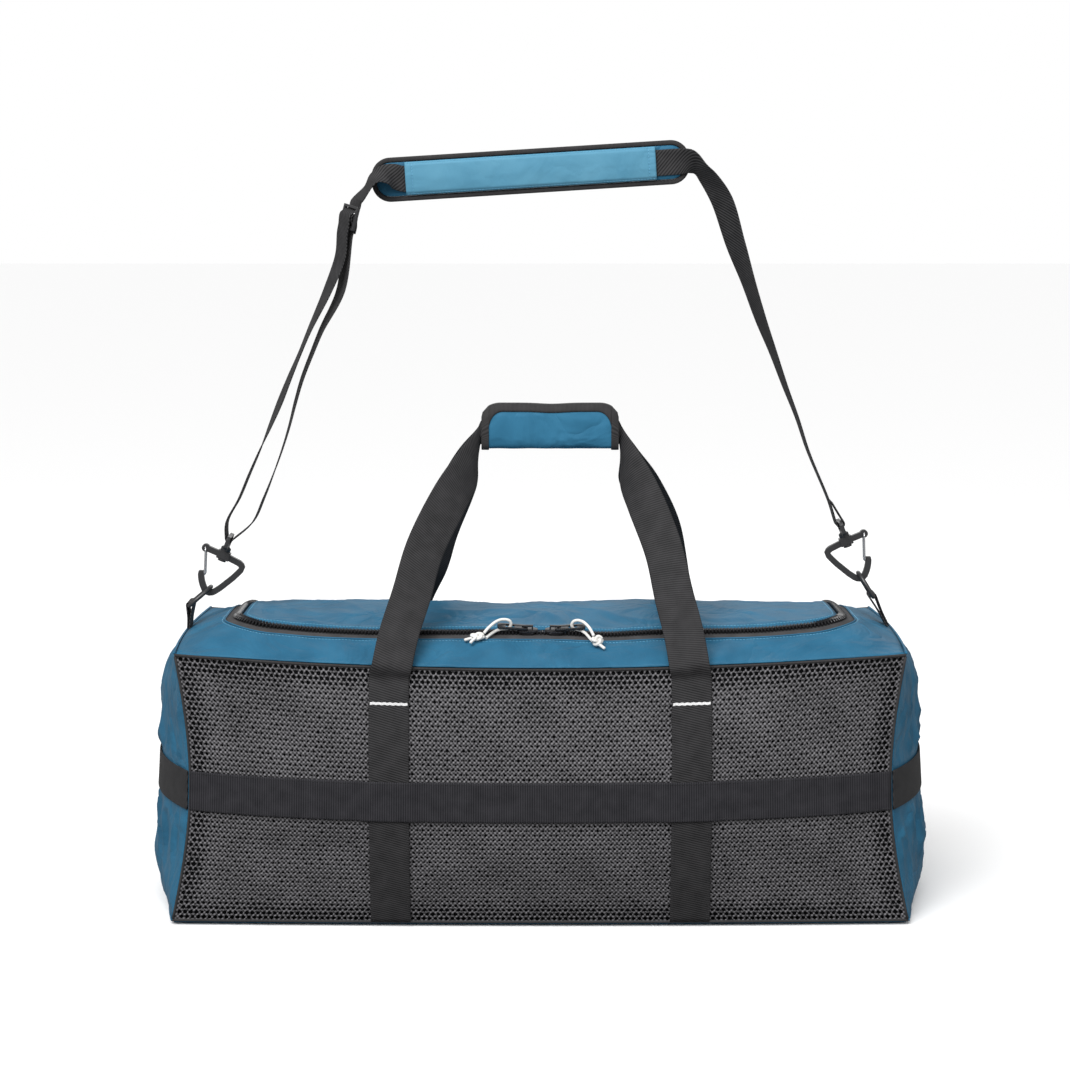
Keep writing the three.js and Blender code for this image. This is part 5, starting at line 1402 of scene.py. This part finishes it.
def ringTab(side, facts):
    bar, _ = ringBar(facts)
    root = vec(facts["root"], 0, topHeight(facts["root"], 0) + handleLook["clear"] + strapLook["thick"] / 2)
    way = unit(bar - root)
    out = unit(yAxis.cross(way))
    apart = (strapLook["thick"] + bandLook["layer"]) / 2
    radius = hookLook["ringWire"] / 2 + hookLook["seat"] + strapLook["thick"] / 2

    def leg(sign):
        low = station(root + out * (sign * apart), strapLook["width"], twist=90)
        middle = station(root.lerp(bar, 0.45) + out * (sign * (apart + 0.4)), strapLook["width"], twist=90)
        return low, middle

    rows = [*leg(1), *roundBar(bar, out, way, radius, -15, 195, 10), *leg(-1)[::-1]]
    return strip(f"ringTab_{side}", rows, strapLook["thick"], cloth["strapWebbing"],
                 (f"ring_tab_{side}",), spacing=2.0)


for side, facts in ends.items():
    softenedCopy(f"hook_body_{side}", f"hookBody_{side}", hookPlastic, width=1.1, segments=3,
                 flatAngle=2)
    softenedCopy(f"hook_swivel_{side}", f"hookSwivel_{side}", hookPlastic, width=0.6)
    gateWire(side, facts)
    bentRing(side, facts)
    ringTab(side, facts)
    softenedCopy(f"zip_slider_{side}", f"zipSlider_{side}", zipPlastic, width=0.4)
    softenedCopy(f"zip_pull_{side}", f"zipPull_{side}", zipPlastic, width=0.6)
softenedCopy("strap_slider", "strapSlider", hookPlastic, width=0.9, segments=3)
print("hooks and rings made")


# Shoulder strap: from its end sewn round the slider, down to the left hook and back, then over the pad
# to the right hook.

padLook = {
    "length": 369, "height": 51, "thick": 9, "binding": 6, "bindingThick": 7, "x": -11, "z": 849, "tilt": 3.55,
    "round": 22, "sleeve": 290, "sleeveThick": 1.2, "sleeveSeam": 8, "gap": 0.4,
}
sliderLook = {"x": -221, "z": 796, "tilt": 75, "twist": -62}
rightRun = [  # across, up, twist, forward
    (0.935, 0.978, 58, 0.30), (0.885, 0.955, 50, 0.20), (0.793, 0.893, 38, 0.07), (0.700, 0.773, 46, 0),
    (0.617, 0.672, 62, 0), (0.530, 0.564, 70, 0), (0.450, 0.476, 78, 0), (0.369, 0.382, 83, 0),
    (0.287, 0.293, 87, 0), (0.213, 0.201, 89, 0), (0.071, 0.059, 90, 0),
]
outerRun = [
    (-0.025, 0.048, -90, 0), (0.080, 0.124, -90, 0), (0.165, 0.200, -90, 0), (0.253, 0.276, -88, 0),
    (0.338, 0.351, -80, 0), (0.421, 0.426, -75, 0), (0.501, 0.501, -77, 0), (0.585, 0.576, -80, 0),
    (0.668, 0.651, -78, 0), (0.820, 0.775, -68, 0), (0.925, 0.880, -62, 0),
]
innerRun = [
    (0.925, 0.775, -112, 0), (0.765, 0.651, -103, 0), (0.683, 0.576, -101, 0), (0.606, 0.501, -100, 0),
    (0.547, 0.426, -99, 0), (0.495, 0.351, -97, 0), (0.433, 0.276, -95, 0), (0.360, 0.200, -93, 0),
    (0.280, 0.124, -90, 0), (0.187, 0.048, -90, 0),
]
sewnEnd = [  # along, off
    (17, -5.6), (9, -5.4), (3, -4.0), (-2.6, -3.2), (-4.4, 0), (-2.6, 3.2), (2.6, 3.2), (6.5, 0), (10, -3.1),
    (20, -3.3),
]
crossing = [(20, 3.6), (9, 4.6), (3, 5.8), (-3, 5.8), (-7.4, 1.4), (-11, -3.3), (-19, -3.5)]


def padAt(a, b, front=0.0):
    tilt = math.radians(padLook["tilt"])
    along = vec(math.cos(tilt), 0, math.sin(tilt))
    up = vec(-math.sin(tilt), 0, math.cos(tilt))
    return vec(padLook["x"], -front, padLook["z"]) + along * a + up * b


def runRows(rows, low, high):
    return [station((mix(low.x, high.x, across), -strapLook["width"] * forward, mix(low.z, high.z, up)),
                    strapLook["width"], twist=twist) for across, up, twist, forward in rows]


def throughSlider(rows):
    tilt = math.radians(sliderLook["tilt"])
    twist = math.radians(sliderLook["twist"])
    centre = vec(sliderLook["x"], 0, sliderLook["z"])
    along = vec(math.cos(tilt), 0, math.sin(tilt))
    wide = unit(yAxis.cross(along)) * math.cos(twist) + yAxis * math.sin(twist)
    off = towards(unit(along.cross(wide)), vec(-1, 0, 0))
    return [station(centre - along * a + off * o, strapLook["width"], wide.copy()) for a, o in rows]


def onPad(a, b, twist):
    forward = strapLook["width"] / 2 * math.sin(math.radians(abs(twist)))
    return station(padAt(a, b, forward), strapLook["width"], twist=twist)


def shoulderStrap():
    half = padLook["length"] / 2
    width = strapLook["width"]
    left, right = ends["left"], ends["right"]
    leftEye = hookAt(left, 0, hookLook["eyeMiddle"])
    rightEye = hookAt(right, 0, hookLook["eyeMiddle"])
    radius = hookLook["eyeBar"] * 0.71 + hookLook["seat"] + strapLook["thick"] / 2
    slider = vec(sliderLook["x"], 0, sliderLook["z"])
    padEnd = padAt(half, 0)
    leftOut, leftUp = hookDirections(left)
    rightOut, rightUp = hookDirections(right)
    sewn = []
    for across, up, apart in ((0.024, 0.02, radius * 0.8), (0.071, 0.059, strapLook["thick"] + bandLook["layer"])):
        main = vec(mix(rightEye.x, padEnd.x, across), 0, mix(rightEye.z, padEnd.z, up))
        sewn.append(station(main + rightOut * apart, width, twist=90))
    rows = [
        *throughSlider(sewnEnd),
        *runRows(innerRun, leftEye, slider),
        *roundBar(leftEye, leftOut, leftUp, radius, 190, 350, 8, -90),
        *runRows(outerRun, leftEye, slider),
        *throughSlider(crossing),
        station(padAt(-half - 9, -14, width / 3), width, twist=-70),
        onPad(-half + 4, 3, -64), onPad(-half + 17, 6, -42), onPad(-half + 28, 3, -16),
        *[onPad(a, 0, 0) for a in steps(-padLook["sleeve"] / 2 - 2, padLook["sleeve"] / 2 + 2, 4)],
        onPad(half - 12, 0, 8), onPad(half + 1, -1, 30),
        *runRows(rightRun, rightEye, padEnd),
        *roundBar(rightEye, rightOut, rightUp, radius, 190, 350, 8),
        *sewn,
    ]
    return strip("shoulderStrap", rows, strapLook["thick"], cloth["strapWebbing"],
                 ("shoulder_webbing",), spacing=3.0)


# Solid loft through closed rings of points.
def loftMesh(rings, loop=False):
    count = len(rings[0])
    points = [p for ring in rings for p in ring]
    faces = []
    for i in range(len(rings) if loop else len(rings) - 1):
        for k in range(count):
            n = (k + 1) % count
            after = (i + 1) % len(rings)
            faces.append((i * count + k, i * count + n, after * count + n, after * count + k))
    if not loop:
        faces.append(tuple(range(count)))
        faces.append(tuple(reversed(range(len(points) - count, len(points)))))
    return points, outward(points, faces)


def padEdge(inset, spacing, cornerSteps=14):
    halfX = padLook["length"] / 2 - inset
    halfY = padLook["height"] / 2 - inset
    radius = padLook["round"] - inset
    outline = []
    for sx, sy, start in ((1, 1, 0), (-1, 1, 90), (-1, -1, 180), (1, -1, 270)):
        for angle in steps(math.radians(start), math.radians(start + 90), cornerSteps):
            outline.append((sx * (halfX - radius) + radius * math.cos(angle),
                            sy * (halfY - radius) + radius * math.sin(angle)))
    found = []
    for i, (x, y) in enumerate(outline):
        nx, ny = outline[(i + 1) % len(outline)]
        count = max(1, round(math.dist((x, y), (nx, ny)) / spacing))
        found += [(mix(x, nx, k / count), mix(y, ny, k / count)) for k in range(count)]
    return found


def padCushion():
    inset = padLook["binding"] + 0.05
    halfX = padLook["length"] / 2 - inset
    halfY = padLook["height"] / 2 - inset
    radius = padLook["round"] - inset
    front = -strapLook["thick"] / 2 - padLook["gap"]
    sections = []
    flats = []
    for share in steps(-1, 1, 110):
        outer = []
        inner = []
        row = []
        for b in steps(-1, 1, 30):
            y = math.sin(b * math.pi / 2) * halfY
            beyond = max(0.0, abs(y) - (halfY - radius))
            reach = halfX - radius + math.sqrt(max(radius * radius - beyond ** 2, 0.0))
            x = share * reach
            toEdge = min(halfY - abs(y), reach - abs(x))
            full = math.sqrt(max(0.0, 1 - (1 - min(1.0, toEdge / 9)) ** 2))
            pucker = 0.35 * noiseAt(x * 0.05, y * 0.12, 7)
            outer.append(padAt(x, y, front - mix(2.0, 0.0, full) + min(pucker, 0)))
            inner.append(padAt(x, y, front - padLook["thick"] + mix(2.0, -1.6, full) + pucker))
            row.append((x, y))
        sections.append((outer, inner))
        flats.append(row)
    cushion = makeWall("padCushion", wallMesh(sections, flats), cloth["blueNylon"],
                       ("pad_body",))


def padBinding():
    middle = -strapLook["thick"] / 2 - padLook["gap"] - padLook["thick"] / 2
    line = padEdge(padLook["binding"] / 2, 4.0)
    count = len(line)
    rings = []
    flats = []
    run = 0.0
    for i, (x, y) in enumerate(line):
        before, after = line[i - 1], line[(i + 1) % count]
        along = Vector((after[0] - before[0], after[1] - before[1])).normalized()
        normal = Vector((along.y, -along.x))
        run += math.dist(before, (x, y)) if i else 0.0
        ripple = 0.25 * math.sin(run * 0.21) + 0.3 * noiseAt(run * 0.05, 1.0, 2.0)
        ring = []
        for k in range(20):
            angle = 2 * math.pi * k / 20
            c, s = math.cos(angle), math.sin(angle)
            across = math.copysign(abs(c) ** 0.6, c) * padLook["binding"] / 2
            deep = math.copysign(abs(s) ** 0.6, s) * (padLook["bindingThick"] / 2 + ripple * 0.5)
            ring.append(padAt(x + normal.x * across, y + normal.y * across, middle + deep))
            flats.append((run, angle * 3.2))
        rings.append(ring)
    points, faces = loftMesh(rings, loop=True)
    makePiece("padBinding", points, faces, cloth["bindingTape"], ("pad_binding",), uvs=flats)
    parts = []
    for way in (1, -1):
        face = middle + way * (padLook["bindingThick"] / 2 + 0.05)
        seam = [padAt(x, y, face) for x, y in padEdge(padLook["binding"] - 1.3, 2.5)]
        parts += stitchParts(seam, [vec(0, -way, 0)] * len(seam), length=2.6, gap=1.4, thick=0.26, off=0.0)
    makeJoined("padBindingSeam", parts, cloth["darkThread"])


def sleeveFront(a, b):
    low = padLook["gap"] - strapLook["thick"] / 2
    full = 2.0 + 1.3 * (1 - min(1.0, abs(b) / 0.86) ** 2)
    off = mix(full, -padLook["gap"], float(rise(0.80, 1.0, abs(b))))
    toEnd = padLook["sleeve"] / 2 - abs(a)
    gather = math.exp(-(toEnd / 16) ** 2)
    drag = 0.45 * noiseAt(a * 0.045, b * 1.7, 3) + 0.35 * gather * noiseAt(a * 0.05, b * 7, 5)
    pinch = 0.45 * math.exp(-((toEnd - padLook["sleeveSeam"]) / 1.3) ** 2)
    return low + off + (drag - pinch + 0.2) * float(rise(0, 0.12, 1 - abs(b)))


def padSleeve():
    reach = padLook["height"] / 2 - padLook["binding"] - padLook["gap"]
    half = padLook["sleeve"] / 2
    sections = []
    flats = []
    nearSeam = [end * (half - d) for end in (-1, 1) for d in (6, 6.8, 7.4, 8, 8.6, 9.2, 10)]
    places = sorted(set(steps(-half, half, 130) + nearSeam))
    for a in places:
        row = [(a, b * reach) for b in steps(-1, 1, 30)]
        fronts = [sleeveFront(a, y / reach) for _, y in row]
        outer = [padAt(x, y, f + padLook["sleeveThick"]) for (x, y), f in zip(row, fronts)]
        inner = [padAt(x, y, max(f, 1.25) if abs(y) < 15.5 else f) for (x, y), f in zip(row, fronts)]
        sections.append((outer, inner))
        flats.append(row)
    makeWall("padSleeve", wallMesh(sections, flats), cloth["paleBlueNylon"],
             ("pad_sleeve",))
    ends = [[(end * (half - padLook["sleeveSeam"]), b) for b in steps(-0.97, 0.97, 24)] for end in (-1, 1)]
    sides = [[(a, b) for a in steps(-half + 1, half - 1, 90)] for b in (0.93, -0.93)]
    parts = []
    for places, thick in [(row, 0.32) for row in ends] + [(row, 0.3) for row in sides]:
        line = [padAt(a, b * reach, sleeveFront(a, b) + padLook["sleeveThick"] + 0.1) for a, b in places]
        parts += stitchParts(line, [vec(0, -1, 0)] * len(line), length=2.7, gap=0.9, thick=thick, off=0.05)
    makeJoined("sleeveStitches", parts, cloth["blueThread"])


shoulderStrap()
padCushion()
padBinding()
padSleeve()
print("shoulder strap and pad made")


# Grip wrap: a padded sleeve round both carry handles, with a binding along its top and round its ends

gripLook = {
    "tall": 52, "thick": 22, "wall": 4, "cornerX": 22, "cornerZ": 15.5, "binding": 8.5, "bindingGap": 0.5,
    "bindingThick": 1.2, "sag": 1.3, "power": 0.62, "round": 17,
}
gripLeft = handleLook["gripShift"] - handleLook["gripLength"] / 2
gripRight = handleLook["gripShift"] + handleLook["gripLength"] / 2
gripAngles = steps(-math.pi / 2, 1.5 * math.pi, 72)[:-1]


def gripTop(x):
    toEnd = handleLook["gripLength"] / 2 - abs(x - handleLook["gripShift"])
    near = min(1.0, max(0.0, toEnd / gripLook["cornerX"]))
    drop = gripLook["cornerZ"] * (1 - math.sqrt(max(0.0, 1 - (1 - near) ** 2)))
    sag = gripLook["sag"] * math.exp(-((x - handleLook["gripShift"] - 2) / 20) ** 2)
    return handleLook["gripHeight"] + gripLook["tall"] / 2 - drop - sag


def gripPoint(x, angle, grow):
    top = gripTop(x) + grow
    bottom = handleLook["gripHeight"] - gripLook["tall"] / 2 - grow + 0.5 * noiseAt(x * 0.05, 0, 8)
    c, r = math.cos(angle), math.sin(angle)
    toEnd = handleLook["gripLength"] / 2 - abs(x - handleLook["gripShift"])
    plump = 1 - 0.12 * math.exp(-(toEnd / 12) ** 2) + 0.03 * noiseAt(x * 0.03, r * 1.3, c)
    half = (gripLook["thick"] / 2 + grow) * plump
    y = half * math.copysign(abs(c) ** gripLook["power"], c)
    z = mix(bottom, top, 0.5 + 0.5 * math.copysign(abs(r) ** gripLook["power"], r))
    crease = 0.5 * noiseAt(x * 0.06, z * 0.16, 2 + math.copysign(1, c))
    return vec(x, y + math.copysign(crease * abs(c), c), z)


def angleFor(x, z):
    top = gripTop(x)
    bottom = handleLook["gripHeight"] - gripLook["tall"] / 2
    share = min(1.0, max(-1.0, 2 * (z - bottom) / (top - bottom) - 1))
    return math.asin(math.copysign(abs(share) ** (1 / gripLook["power"]), share))


def gripWrap():
    xs = [*[gripLeft + d for d in (0, 0.6, 1.4, 2.5)], *steps(gripLeft + 4, gripRight - 4, 76),
          *[gripRight - d for d in (2.5, 1.4, 0.6, 0)]]
    sections = [[[gripPoint(x, a, grow) for a in gripAngles] for grow in (0, -gripLook["wall"])] for x in xs]
    flats = [[(x, a * gripLook["round"]) for a in gripAngles] for x in xs]
    # The wrap's nylon is painted lighter than the bag's blue, as painted light on the grip.
    wrap = makeWall("gripWrap", wallMesh(sections, flats, ring=True), cloth["litGripNylon"],
                    ("handle_wrap",))


def gripBinding():
    low = gripLook["bindingGap"]
    high = low + gripLook["bindingThick"]
    wide = gripLook["binding"]
    parts = []
    flats = []
    for edge, inwards in ((gripLeft, 1), (gripRight, -1)):
        shape = [(-0.3, 0.6), (0, 0.9), (0.8, 1), (wide - 0.9, 1), (wide - 0.2, 0.85), (wide, 0.3)]
        xs = [(edge + inwards * d, share) for d, share in shape]
        sections = [[[gripPoint(x, a, grow) for a in gripAngles] for grow in (mix(low, high, share), low)]
                    for x, share in xs]
        rows = [[(a * gripLook["round"], x) for a in gripAngles] for x, _ in xs]
        points, faces, places = wallMesh(sections, rows, ring=True)
        parts.append((points, faces))
        flats += places
    arcs = [-1, -0.97, -0.9, *steps(-0.8, 0.8, 24), 0.9, 0.97, 1]
    sections = []
    rows = []
    for x in steps(gripLeft + wide - 0.4, gripRight - wide + 0.4, 70):
        toEnd = min(x - gripLeft, gripRight - x) - wide
        near = min(1.0, max(0.0, toEnd / 17))
        lowest = gripTop(x) - wide - 15 * (1 - math.sqrt(max(0.0, 1 - (1 - near) ** 2)))
        start = angleFor(x, lowest)
        turns = [math.pi / 2 + t * (math.pi / 2 - start) for t in arcs]
        shares = [0.3, 0.85, 1, *[1] * 25, 1, 0.85, 0.3]
        sections.append(([gripPoint(x, a, mix(low, high, share)) for a, share in zip(turns, shares)],
                         [gripPoint(x, a, low) for a in turns]))
        rows.append([(x, a * gripLook["round"]) for a in turns])
    points, faces, places = wallMesh(sections, rows)
    parts.append((points, faces))
    flats += places
    points, faces = joinParts(parts)
    makePiece("gripBinding", points, faces, cloth["bindingTape"], ("handle_wrap_binding",),
              uvs=flats)


gripWrap()
gripBinding()
print("grip made")
